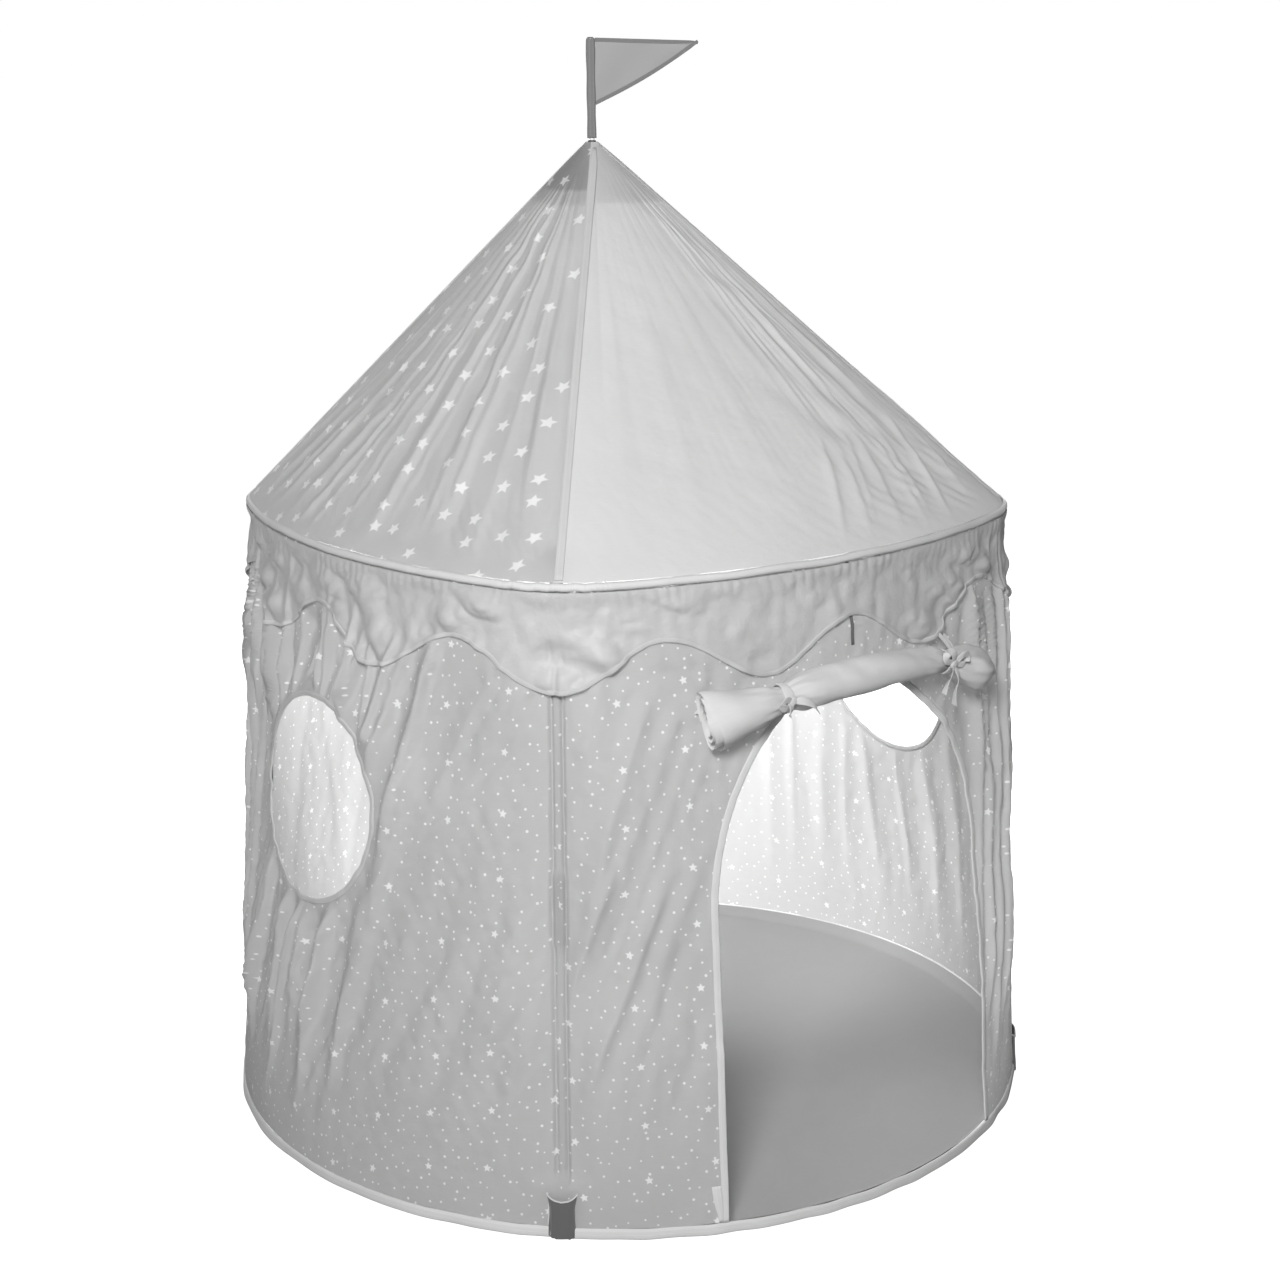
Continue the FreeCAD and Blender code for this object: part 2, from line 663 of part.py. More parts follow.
def make_door_roll():
    path = roll_path()
    edge = path.toShape()
    start = edge.valueAt(edge.FirstParameter)
    tangent = edge.tangentAt(edge.FirstParameter)
    section = Part.Wire(Part.Circle(start, tangent, SIZE["roll_radius"]).toShape())
    roll = Part.Wire([edge]).makePipeShell([section], True, False)
    feature("door_roll", roll, turned(SIDES["front"]))
    middle_parameter = (edge.FirstParameter + edge.LastParameter) / 2
    span = edge.LastParameter - edge.FirstParameter
    step = span * SIZE["tie_position"] / edge.Length
    for label, sign in (("door_tie_left", -1), ("door_tie_right", 1)):
        parameter = middle_parameter + sign * step
        centre = edge.valueAt(parameter)
        tangent = edge.tangentAt(parameter)
        low = centre - tangent * (SIZE["tie_width"] / 2)
        inner = SIZE["roll_radius"] + SIZE["seam_gap"] / 2
        outer = inner + SIZE["tie_thickness"]
        band = Part.makeCylinder(outer, SIZE["tie_width"], low, tangent)
        band = band.cut(Part.makeCylinder(inner, SIZE["tie_width"], low, tangent))
        front = tangent.cross(UP).normalize()
        if front.x < 0:
            front = -front
        side = front.cross(UP).normalize()
        knot = SIZE["tie_knot"]
        block = Part.makeBox(knot / 2, knot, knot, Vector(0, -knot / 2, -knot / 2))
        spin = math.degrees(math.atan2(front.y, front.x))
        block.rotate(Vector(0, 0, 0), UP, spin)
        block.translate(centre + front * (outer - SIZE["tie_thickness"]))
        block = block.cut(Part.makeCylinder(inner, 4 * knot, centre - tangent * 2 * knot, tangent))
        feature(label, band.fuse(block).removeSplitter(), turned(SIDES["front"]))


def make_hanger():
    """Narrow tape from the eave to the middle of the roll, between wall and valance."""
    top = WALL_TOP - SIZE["seam_gap"]
    foot = SIZE["hanger_foot"]
    gap = (SIZE["valance_gap"] - SIZE["hanger_thickness"]) / 2
    half = SIZE["hanger_width"] / 2
    wires = []
    for height in (foot, top):
        near = wall_plan(height).mid + gap
        far = near + SIZE["hanger_thickness"]
        corners = [Vector(near, -half, height), Vector(far, -half, height),
                   Vector(far, half, height), Vector(near, half, height)]
        wires.append(Part.makePolygon(corners + corners[:1]))
    feature("door_hanger", Part.makeLoft(wires, True, True), turned(SIDES["front"]))


# ---------------------------------------------------------------- flag

def shrunk(corners, width):
    """Corners of a triangle whose sides lie a width inside the given one."""
    sides = []
    for index in range(3):
        a = corners[(index + 1) % 3]
        b = corners[(index + 2) % 3]
        sides.append(math.hypot(a[0] - b[0], a[1] - b[1]))
    perimeter = sum(sides)
    half = perimeter / 2
    area = math.sqrt(half * (half - sides[0]) * (half - sides[1]) * (half - sides[2]))
    in_radius = area / half
    centre = [sum(side * corner[axis] for side, corner in zip(sides, corners)) / perimeter
              for axis in (0, 1)]
    factor = (in_radius - width) / in_radius
    return [(centre[0] + factor * (corner[0] - centre[0]),
             centre[1] + factor * (corner[1] - centre[1])) for corner in corners]


def make_flag():
    foot = Vector(HUB.x, HUB.y, 0)
    stick = tube_body("flag_stick", "stick_radius", None, "flag_top - 3 - stick_foot")
    stick.Placement = Placement(foot + UP * SIZE["stick_foot"], Rotation())
    keep(stick, "flag_stick")
    sleeve = tube_body("flag_sleeve", "flag_sleeve_radius", "stick_radius + stick_clearance",
                       "flag_top - flag_sleeve_foot")
    sleeve.Placement = Placement(foot + UP * SIZE["flag_sleeve_foot"], Rotation())
    keep(sleeve, "flag_sleeve")
    near = SIZE["flag_sleeve_radius"] + SIZE["seam_gap"]
    outline = [(near, SIZE["flag_top"]), (near, SIZE["flag_heel"]),
               (SIZE["flag_length"], SIZE["flag_top"] - SIZE["flag_tip_drop"])]
    inner = shrunk(outline, SIZE["flag_binding_width"])
    for label, outlines in (("flag_binding", [outline, inner]), ("flag_pennant", [inner])):
        body = doc.addObject("PartDesign::Body", label)
        sketch = new_sketch(body, label + "_outline", "XZ_Plane")
        for points in outlines:
            add_outline(sketch, points)
        pad = body.newObject("PartDesign::Pad", label + "_pad")
        pad.Profile = sketch
        pad.Midplane = True
        bound(pad, "Length", "flag_thickness")
        body.Tip = pad
        body.Placement = turned(SIZE["flag_heading"], foot)
        keep(body, label)


# ---------------------------------------------------------------- build, check and write

make_floor_and_hem()
make_walls()
make_valance()
make_roof()
make_eave()
make_legs()
make_roof_poles()
make_hub()
make_foot_pockets()
make_door_roll()
make_hanger()
make_flag()
doc.recompute()

problems = []
for obj in doc.Objects:
    if "Invalid" in obj.State or "Error" in obj.State:
        problems.append("%s: %s" % (obj.Label, obj.State))
for obj in nodes:
    shape = obj.Shape
    if shape.isNull() or not shape.isValid() or not shape.Solids:
        problems.append("%s: bad shape" % obj.Label)
    elif min(solid.Volume for solid in shape.Solids) <= 0:
        problems.append("%s: a solid without volume" % obj.Label)
if problems:
    raise RuntimeError("; ".join(problems))

os.makedirs("parts", exist_ok=True)
for obj in nodes:
    obj.Shape.exportStep("parts/%s.step" % obj.Label)
print("%d nodes written" % len(nodes))
for obj in nodes:
    box = obj.Shape.BoundBox
    print("%-28s solids %2d volume %10.0f  x %7.1f %7.1f  y %7.1f %7.1f  z %7.1f %7.1f" % (
        obj.Label, len(obj.Shape.Solids), obj.Shape.Volume,
        box.XMin, box.XMax, box.YMin, box.YMax, box.ZMin, box.ZMax))
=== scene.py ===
"""Looks of a round play tent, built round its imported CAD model.

Metres, in the frame of the CAD model: +Z up, floor at 0, doorway towards -Y. Angles round the tent are
headings: 0 is +X, counterclockwise from above. The cloth has four sides between four poles, and every
place on a side is given by its heading and its height.
"""

import math

import bpy
import numpy as np
from mathutils import Matrix, Vector


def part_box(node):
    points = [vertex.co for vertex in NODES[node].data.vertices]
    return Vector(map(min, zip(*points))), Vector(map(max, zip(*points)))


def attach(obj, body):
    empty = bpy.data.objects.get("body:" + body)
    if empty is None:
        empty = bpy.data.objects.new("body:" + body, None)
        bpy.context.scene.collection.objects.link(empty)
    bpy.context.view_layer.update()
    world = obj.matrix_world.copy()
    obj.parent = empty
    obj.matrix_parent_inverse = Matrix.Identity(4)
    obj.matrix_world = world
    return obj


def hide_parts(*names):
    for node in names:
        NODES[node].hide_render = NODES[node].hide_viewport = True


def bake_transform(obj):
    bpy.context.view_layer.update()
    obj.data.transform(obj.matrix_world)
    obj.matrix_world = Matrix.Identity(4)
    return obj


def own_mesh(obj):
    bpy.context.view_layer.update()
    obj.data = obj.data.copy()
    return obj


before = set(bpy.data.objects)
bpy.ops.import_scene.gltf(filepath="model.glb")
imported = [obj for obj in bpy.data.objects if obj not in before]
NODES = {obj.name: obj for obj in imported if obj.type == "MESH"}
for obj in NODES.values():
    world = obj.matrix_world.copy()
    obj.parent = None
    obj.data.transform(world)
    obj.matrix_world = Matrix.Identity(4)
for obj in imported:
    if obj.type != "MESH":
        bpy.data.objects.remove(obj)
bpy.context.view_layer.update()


# ---------------------------------------------------------------- sizes, read from the CAD model

def low(node):
    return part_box(node)[0]


def high(node):
    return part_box(node)[1]


def reach(node):
    """Largest distance of a node from the tent's vertical axis."""
    return max(vertex.co.xy.length for vertex in NODES[node].data.vertices)


SIDES = {"front": -math.pi / 2, "right": 0.0, "back": math.pi / 2, "left": math.pi}
POLES = {"front_left": math.radians(-135), "front_right": math.radians(-45),
         "back_right": math.radians(45), "back_left": math.radians(135)}
QUADRANT = math.pi / 4
CORNER = math.pi / 8

PIPING_RADIUS = (high("eave_piping").z - low("eave_piping").z) / 2
EAVE_HEIGHT = (high("eave_piping").z + low("eave_piping").z) / 2
EAVE_MID = high("eave_piping").x - PIPING_RADIUS
EAVE_POLE = reach("eave_piping") - PIPING_RADIUS
WALL_FOOT = low("wall_back").z
WALL_TOP = high("wall_back").z
BASE_RADIUS = reach("wall_back")
HEM_RADIUS = reach("base_hem")
HEM_TOP = high("base_hem").z
ROOF_FOOT = low("roof_panel_back").z
STICK_MIDDLE = (low("flag_stick") + high("flag_stick")) / 2
APEX = Vector((STICK_MIDDLE.x, STICK_MIDDLE.y, high("roof_panel_front").z))
APEX_RADIUS = 0.0076

DOOR_BINDING = 0.009
DOOR_HALF_WIDTH = high("door_binding").x - DOOR_BINDING
DOOR_TOP = high("door_binding").z - DOOR_BINDING
DOOR_SPRING = 0.370
DOOR_SPRING_HALF_WIDTH = 0.197
DOOR_SAG = 0.016
WINDOW_BINDING = 0.007
WINDOW_HEIGHT = (high("window_binding_left").z + low("window_binding_left").z) / 2
WINDOW_RADIUS = (high("window_binding_left").z - low("window_binding_left").z) / 2 - WINDOW_BINDING
SCALLOPS = 12
SCALLOP_LOW = low("valance_binding").z
SCALLOP_DEPTH = 0.0265
SCALLOP_MEAN = SCALLOP_LOW + SCALLOP_DEPTH
ROLL_RADIUS = 0.023
ROLL_HEIGHT = high("door_roll").z - ROLL_RADIUS
ROLL_DROOP = 0.034
ROLL_HALF_WIDTH = 0.213
ROLL_LEFT_END = -0.202
ROLL_OFFSET = 0.028
TIE_PLACE = 0.117
LEG_JOINER = (low("leg_joiners").z, high("leg_joiners").z)

# Width and thickness of each tape.
DOOR_TAPE_SIZE = (DOOR_BINDING, 0.0028)
DOOR_TAB_SIZE = (0.0110, 0.0014)
WINDOW_TAPE_SIZE = (WINDOW_BINDING, 0.0026)
HEM_TAPE_SIZE = (HEM_TOP - 0.0008, 0.0042)
VALANCE_TAPE_SIZE = (0.0056, 0.0022)
SEAM_TAPE_SIZE = (0.0100, 0.0016)
POCKET_TAPE_SIZE = (0.0018, 0.0012)
HANGER_TAPE_SIZE = (0.0048, 0.0012)
FLAG_TAPE_SIZE = (0.0048, 0.0018)
TIE_BAND_SIZE = (0.0100, 0.0016)
TIE_KNOT_SIZE = (0.0100, 0.0062)
TIE_THICKNESS = 0.0012
TIE_LOOP_WIDTH = 0.0095
TIE_TAIL_WIDTH = 0.0090
TIE_UPPER_TAIL_WIDTH = 0.0050


# ---------------------------------------------------------------- shapes of the cloth

def outline(heading, mid, pole):
    """Rounded-square plan of the cloth: x and y of the points whose outward direction is a heading.

    mid is its radius at the middle of a side and pole its radius at a pole. Tangent arcs join them.
    """
    side = np.round(heading / (2 * QUADRANT)) * 2 * QUADRANT
    local = heading - side
    share = math.sin(CORNER) / math.sin(2 * CORNER)
    gain = (pole - mid) / (2 * share - 1)
    shift = share * gain
    flat = np.abs(local) <= CORNER
    radius = np.where(flat, (mid + pole + gain) / 2, (mid + pole - gain) / 2)
    turn = np.where(flat, 0.0, np.copysign(QUADRANT, local))
    centre = np.where(flat, -shift, shift)
    x = centre * np.cos(turn) + radius * np.cos(local)
    y = centre * np.sin(turn) + radius * np.sin(local)
    return x * np.cos(side) - y * np.sin(side), x * np.sin(side) + y * np.cos(side)


def wall_radii(height):
    part = (height - WALL_FOOT) / (WALL_TOP - WALL_FOOT)
    return (BASE_RADIUS + part * (EAVE_MID - BASE_RADIUS),
            BASE_RADIUS + part * (EAVE_POLE - BASE_RADIUS))


def arc_sizes(mid, pole):
    """Radii of the wide arc in the middle of a side and of the close arcs next to its poles."""
    gain = (pole - mid) / (2 * math.sin(CORNER) / math.sin(2 * CORNER) - 1)
    return (mid + pole + gain) / 2, (mid + pole - gain) / 2


def distance_along(local, mid, pole):
    """Distance along the cloth from the middle of a side to a heading."""
    wide, close = arc_sizes(mid, pole)
    total = np.minimum(np.abs(local), CORNER) * wide + np.maximum(np.abs(local) - CORNER, 0) * close
    return np.copysign(total, local)


def heading_along(distance, mid, pole):
    """Heading from the middle of a side, at a distance along the cloth."""
    wide, close = arc_sizes(mid, pole)
    far = np.abs(distance) - CORNER * wide
    return np.copysign(np.where(far < 0, np.abs(distance) / wide, CORNER + far / close), distance)


def arc_length(local, height):
    return distance_along(local, *wall_radii(height))


def heading_at(lateral, height):
    """Heading, from the middle of a side, of the wall point that far sideways."""
    wide, _ = arc_sizes(*wall_radii(height))
    return np.arcsin(np.clip(lateral / wide, -1, 1))


def even_headings(count, height):
    """Headings across a side, evenly spaced along the cloth at that height."""
    mid, pole = wall_radii(height)
    end = float(distance_along(QUADRANT, mid, pole))
    return heading_along(np.linspace(-end, end, count), mid, pole)


def full_turn(count):
    return np.linspace(0, 2 * math.pi, count, endpoint=False)


def facing(heading):
    """Level directions that look along headings."""
    return np.stack([np.cos(heading), np.sin(heading), 0 * heading], -1)


def smooth(value, start, end):
    part = np.clip((value - start) / (end - start), 0, 1)
    return part * part * (3 - 2 * part)


def waves(across, along, seed, pitch, tilt=0.0, spread=0.5, count=10, period=None):
    """Irregular waves over two flat coordinates, about -1 to 1, their lines running along the second.

    With a period they come round to meet themselves in the first coordinate.
    """
    rng = np.random.default_rng(seed)
    total = 0.0
    for _ in range(count):
        direction = tilt + rng.normal(0, spread)
        number = 2 * math.pi / (pitch * rng.uniform(0.7, 1.5))
        phase = rng.uniform(0, 2 * math.pi)
        first, second = number * math.cos(direction), number * math.sin(direction)
        if period:
            first = 2 * math.pi * round(first * period / (2 * math.pi)) / period
        total = total + np.sin(first * across + second * along + phase)
    return total / math.sqrt(2.2 * count)


def creases(across, along, seed, pitch, tilt=0.0, spread=0.5, sharpness=0.12, period=None):
    """Round folds that meet in narrow valleys, about -1 to 0."""
    wave = waves(across, along, seed, 2 * pitch, tilt, spread, 10, period)
    return np.minimum(np.sqrt(wave * wave + sharpness ** 2), 1.0) - 1.0


def pleats(across, height, seed, count, first, last, top, bottom, tilt, width, depth, jitter=0.35):
    """Separate folds side by side from first to last, each running down from top to bottom and fading out."""
    rng = np.random.default_rng(seed)
    step = (last - first) / max(count, 1)
    total = 0.0
    for index in range(count):
        start = first + step * (index + 0.5 + rng.uniform(-jitter, jitter))
        high_end = top + rng.uniform(-0.03, 0.03)
        low_end = bottom + rng.uniform(-0.10, 0.10) * (top - bottom)
        lean = tilt * rng.uniform(0.75, 1.25)
        bend = rng.uniform(-0.4, 0.4) * tilt
        down = high_end - height
        centre = start - lean * down - bend * down * down
        size = width * rng.uniform(0.75, 1.3)
        away = (across - centre) / size
        ridge = np.exp(-np.abs(away) ** 1.7 * (1 + 0.45 * np.tanh(4 * away)))
        ends = smooth(height, low_end - 0.04, low_end + 0.10)
        ends = ends * smooth(height, high_end + 0.05, high_end - 0.03)
        total = total + depth * rng.uniform(0.6, 1.25) * ridge * ends
    return total


# Groups of folds on each side, in the order that pleats takes them: seed, how many, first and last place
# across, top and bottom, lean, width and depth.
WALL_PLEATS = {
    "left": ((201, 12, -0.32, 0.13, 0.74, 0.50, 0.10, 0.0058, 0.0170),
             (202, 4, 0.10, 0.24, 0.73, 0.38, 0.34, 0.0095, 0.0160),
             (203, 4, -0.04, 0.24, 0.52, 0.14, 0.34, 0.0125, 0.0090),
             (204, 7, -0.37, -0.18, 0.72, 0.10, 0.05, 0.0050, 0.0085),
             (205, 6, -0.16, 0.14, 0.38, 0.06, 0.26, 0.0075, 0.0120),
             (206, 9, -0.05, 0.33, 0.66, 0.06, 0.42, 0.0050, 0.0022)),
    "front": ((211, 3, -0.34, -0.20, 0.66, 0.20, 0.34, 0.0110, 0.0060),
              (212, 3, -0.36, -0.17, 0.44, 0.06, 0.36, 0.0095, 0.0070),
              (213, 6, -0.34, -0.14, 0.60, 0.10, 0.38, 0.0055, 0.0014),
              (214, 6, 0.225, 0.355, 0.74, 0.12, 0.03, 0.0060, 0.0120),
              (215, 7, -0.12, 0.20, 0.75, 0.66, 0.10, 0.0060, 0.0040)),
    "right": ((221, 9, -0.33, 0.30, 0.74, 0.54, 0.05, 0.0080, 0.0050),
              (222, 7, -0.32, 0.10, 0.62, 0.06, 0.06, 0.0100, 0.0055),
              (223, 5, 0.05, 0.33, 0.52, 0.06, -0.05, 0.0090, 0.0045)),
    "back": ((231, 6, -0.32, 0.32, 0.74, 0.46, 0.08, 0.0090, 0.0030),
             (232, 5, -0.30, 0.30, 0.50, 0.06, 0.20, 0.0150, 0.0022)),
}

# For each side: how deep its upright gathers, its long slanting folds and its small wrinkles are, in metres.
WALL_FOLDS = {
    "front": {"seed": 11, "gather": 0.0045, "slant": 0.0060, "tilt": -0.36, "wrinkle": 0.0011},
    "right": {"seed": 23, "gather": 0.0060, "slant": 0.0045, "tilt": 0.08, "wrinkle": 0.0008},
    "back": {"seed": 37, "gather": 0.0040, "slant": 0.0025, "tilt": 0.12, "wrinkle": 0.0006},
    "left": {"seed": 41, "gather": 0.0100, "slant": 0.0085, "tilt": -0.34, "wrinkle": 0.0011},
}

# Where a wall lies on its leg it is drawn in, less over the joiner, with a groove beside the tube.
LEG_DRAW, LEG_DRAW_WIDTH, JOINER_STEP = 0.0074, 0.026, 0.0018
GROOVE_DEPTH, GROOVE_PLACE, GROOVE_SHIFT, GROOVE_WIDTH = 0.0040, 0.0066, 0.0014, 0.0024
# Over these distances from a pole and from an opening the folds fade out.
POLE_HOLD = 0.060
OPENING_HOLD = 0.045
# How far the left wall's pleats stand inwards, and how far the top of a wall is drawn in behind the valance.
PLEATS_INWARDS = 0.0065
UNDER_VALANCE = 0.0025


def opening_gap(side, across, height):
    """Roughly how far a place on the cloth is from the edge of its side's opening."""
    if side == "front":
        above = np.maximum(height - DOOR_SPRING, 0) / (DOOR_TOP - DOOR_SPRING)
        return np.maximum((np.hypot(across / DOOR_SPRING_HALF_WIDTH, above) - 1) * DOOR_SPRING_HALF_WIDTH, 0)
    if side == "back":
        return np.full_like(across, 1.0)
    return np.maximum(np.hypot(across, height - WINDOW_HEIGHT) - WINDOW_RADIUS, 0)


def wall_offset(side, local, height):
    """How far the wall's cloth stands out from its plain shape. Held still at the poles and the hem."""
    folds = WALL_FOLDS[side]
    seed = folds["seed"]
    across = arc_length(local, height)
    edge = arc_length(np.full_like(across, QUADRANT), height) - np.abs(across)
    held = smooth(edge, 0.0, POLE_HOLD)
    gap = opening_gap(side, across, height)
    held = held * (0.13 + 0.87 * smooth(gap, 0.0, OPENING_HOLD))
    rise = smooth(height, WALL_FOOT, WALL_FOOT + 0.22)
    upper = smooth(height, 0.36, 0.66)
    towards = {"left": smooth(across, 0.24, -0.05), "front": smooth(across, 0.10, 0.26)}.get(side, 0.9)
    gather = creases(across, 0.30 * height, seed, 0.030, 0.04, 0.06)
    slant = creases(across, height, seed + 1, 0.068, folds["tilt"], 0.10, 0.22)
    second = creases(across, height, seed + 4, 0.034, folds["tilt"] * 1.3, 0.16, 0.2)
    billow = waves(across, height, seed + 2, 0.26, 0.0, 0.9)
    fine = waves(across, height, seed + 3, 0.026, folds["tilt"], 0.7, 16)
    away = smooth(edge, 0.0, 0.02)
    offset = folds["gather"] * gather * upper * towards
    offset = offset + folds["slant"] * (0.5 + slant) * (1 - 0.7 * upper * towards) * (0.35 + 0.65 * rise)
    offset = offset + 0.30 * folds["slant"] * (0.5 + second) * (0.3 + 0.7 * rise)
    offset = offset + 0.0040 * billow * rise
    for group in WALL_PLEATS[side]:
        offset = offset + pleats(across, height, *group)
    offset = offset - (PLEATS_INWARDS * towards if side == "left" else 0.0)
    offset = offset * (1 - 0.80 * smooth(height, SCALLOP_MEAN - 0.015, SCALLOP_MEAN + 0.030))
    offset = held * (0.10 + 0.90 * rise) * offset + away * folds["wrinkle"] * fine * (0.3 + 0.7 * rise)
    near_leg = {"left": across > 0, "front": across < 0}.get(side, False)
    start, end = LEG_JOINER
    thick = smooth(height, start - 0.004, start) * smooth(height, end + 0.004, end)
    over_tube = (LEG_DRAW - JOINER_STEP * thick) * np.exp(-(edge / LEG_DRAW_WIDTH) ** 2)
    groove = np.exp(-((edge - GROOVE_PLACE - GROOVE_SHIFT * thick) / GROOVE_WIDTH) ** 2)
    over_tube = over_tube + GROOVE_DEPTH * groove
    return offset - near_leg * over_tube * smooth(height, 0.062, 0.080) * smooth(height, 0.710, 0.690)


def wall_points(side, local, height, lift=0.0):
    """Points of a side's cloth, lifted outwards by lift."""
    local = np.asarray(local, float)
    height = np.asarray(height, float) + 0 * local
    heading = local + SIDES[side]
    mid, pole = wall_radii(height)
    x, y = outline(heading, mid, pole)
    out = wall_offset(side, local, height) + lift
    out = out - smooth(height, SCALLOP_MEAN, WALL_TOP - 0.02) * UNDER_VALANCE
    return np.stack([x + out * np.cos(heading), y + out * np.sin(heading), height], -1)


def roof_radii(part):
    return EAVE_MID + part * (APEX_RADIUS - EAVE_MID), EAVE_POLE + part * (APEX_RADIUS - EAVE_POLE)


# For each side: how deep its folds are, and between which shares of its width they grow, -1 to 1.
ROOF_FOLDS = {
    "front": {"seed": 53, "fold": 0.0030, "first": 0.05, "full": 0.60},
    "right": {"seed": 61, "fold": 0.0045, "first": -0.80, "full": 0.10},
    "back": {"seed": 67, "fold": 0.0035, "first": -0.60, "full": 0.20},
    "left": {"seed": 71, "fold": 0.0060, "first": -0.75, "full": 0.35},
}
# The same groups of folds for the roof: places across are measured at the eave, and heights are shares of the
# way to the peak.
ROOF_PLEATS = {
    "left": ((241, 5, -0.02, 0.34, 0.88, 0.10, 0.02, 0.0130, 0.0062),
             (242, 9, -0.36, 0.30, 0.55, 0.04, 0.03, 0.0060, 0.0020),
             (243, 6, -0.30, -0.05, 0.30, 0.02, 0.10, 0.0080, 0.0035)),
    "front": ((251, 7, 0.12, 0.35, 0.80, 0.30, 0.06, 0.0085, 0.0028),
              (252, 9, 0.06, 0.34, 0.22, 0.03, 0.35, 0.0065, 0.0030),
              (253, 4, -0.30, 0.10, 0.60, 0.10, 0.02, 0.0200, 0.0016)),
    "right": ((261, 8, -0.34, 0.34, 0.85, 0.08, 0.03, 0.0110, 0.0045),),
    "back": ((271, 7, -0.34, 0.34, 0.80, 0.08, 0.05, 0.0110, 0.0030),),
}
EAVE_HALF = float(distance_along(QUADRANT, EAVE_MID, EAVE_POLE))
ROOF_SAG = 0.007
SEAM_DRAW, SEAM_DRAW_PLACE, SEAM_DRAW_WIDTH = 0.0075, 0.006, 0.016


def roof_offset(side, local, part):
    """How far the roof's cloth stands out: folds that run down from the peak, held at poles and eave."""
    folds = ROOF_FOLDS[side]
    seed = folds["seed"]
    across = distance_along(local, EAVE_MID, EAVE_POLE)
    along = part * 0.65
    edge = (EAVE_HALF - np.abs(across)) * (1 - part)
    held = smooth(edge, 0.0, 0.040)
    body = smooth(part, 0.0, 0.14) * smooth(part, 0.99, 0.80)
    zone = 0.20 + 0.80 * smooth(across / EAVE_HALF, folds["first"], folds["full"])
    run = creases(across, along, seed, 0.048, 0.05, 0.05, 0.2)
    thin = creases(across, along, seed + 3, 0.020, 0.03, 0.07, 0.2)
    cross = waves(across * (1 - part), along, seed + 1, 0.060, 0.85, 0.25)
    fan = creases(across, along, seed + 2, 0.019, 0.7, 0.16, 0.2)
    at_eave = smooth(part, 0.01, 0.06) * smooth(part, 0.26, 0.10)
    sag = -ROOF_SAG * np.sin(math.pi * np.clip(part, 0, 1)) * np.cos(2 * local) ** 2
    slope = 1 - part
    offset = zone * body * (folds["fold"] * (0.4 + run) * (0.35 + 0.65 * slope) + 0.0012 * thin * slope)
    offset = offset + 0.0015 * body * zone * cross + 0.0022 * zone * at_eave * fan
    for group in ROOF_PLEATS[side]:
        offset = offset + pleats(across, part, *group) * (0.30 + 0.70 * slope) * smooth(part, 0.0, 0.05)
    if side != "left":
        return held * offset + sag
    on_pole = -SEAM_DRAW * (across > 0) * np.exp(-((edge - SEAM_DRAW_PLACE) / SEAM_DRAW_WIDTH) ** 2)
    return held * offset + sag + on_pole * smooth(part, 0.02, 0.10) * smooth(part, 0.79, 0.70)


def roof_points(side, local, part, lift=0.0):
    local = np.asarray(local, float)
    part = np.asarray(part, float) + 0 * local
    heading = local + SIDES[side]
    mid, pole = roof_radii(part)
    x, y = outline(heading, mid, pole)
    rise = APEX.z - ROOF_FOOT
    run = (EAVE_MID + EAVE_POLE) / 2
    out = (roof_offset(side, local, part) + lift) / math.hypot(rise, run)
    return np.stack([x + APEX.x * part + out * rise * np.cos(heading),
                     y + APEX.y * part + out * rise * np.sin(heading),
                     ROOF_FOOT + rise * part + out * run], -1)


# ---------------------------------------------------------------- meshes

def make_mesh(name, points, faces, uv=None):
    """A smooth mesh. uv holds one pair for each corner of each face, in metres of cloth."""
    mesh = bpy.data.meshes.new(name)
    mesh.from_pydata([tuple(p) for p in np.asarray(points, float)], [], [tuple(f) for f in faces])
    mesh.shade_smooth()
    if uv is not None:
        layer = mesh.uv_layers.new(name="cloth")
        layer.data.foreach_set("uv", np.asarray(uv, np.float32).ravel())
    obj = bpy.data.objects.new(name, mesh)
    bpy.context.scene.collection.objects.link(obj)
    return obj


def grid(name, points, uv, closed=False):
    """A sheet from rows of points. A closed one joins its last column to its first; its uv has one more."""
    rows, columns = points.shape[:2]
    steps = columns if closed else columns - 1
    row, column = np.meshgrid(np.arange(rows - 1), np.arange(steps), indexing="ij")
    row, column = row.ravel(), column.ravel()
    following = (column + 1) % columns
    faces = np.stack([row * columns + column, row * columns + following,
                      (row + 1) * columns + following, (row + 1) * columns + column], -1)
    corners = np.stack([uv[row, column], uv[row, column + 1],
                        uv[row + 1, column + 1], uv[row + 1, column]], 1)
    return make_mesh(name, points.reshape(-1, 3), faces, corners)


def unit(vectors):
    return vectors / np.maximum(np.linalg.norm(vectors, axis=-1, keepdims=True), 1e-12)


def tape_section(width, thickness, points=14):
    """Flat section with round edges, as pairs of sideways and upwards."""
    turn = np.arange(points) * 2 * math.pi / points
    side = np.copysign(np.abs(np.cos(turn)) ** 0.55, np.cos(turn)) * width / 2
    up = np.copysign(np.abs(np.sin(turn)) ** 0.80, np.sin(turn)) * thickness / 2
    return np.stack([side, up], -1)


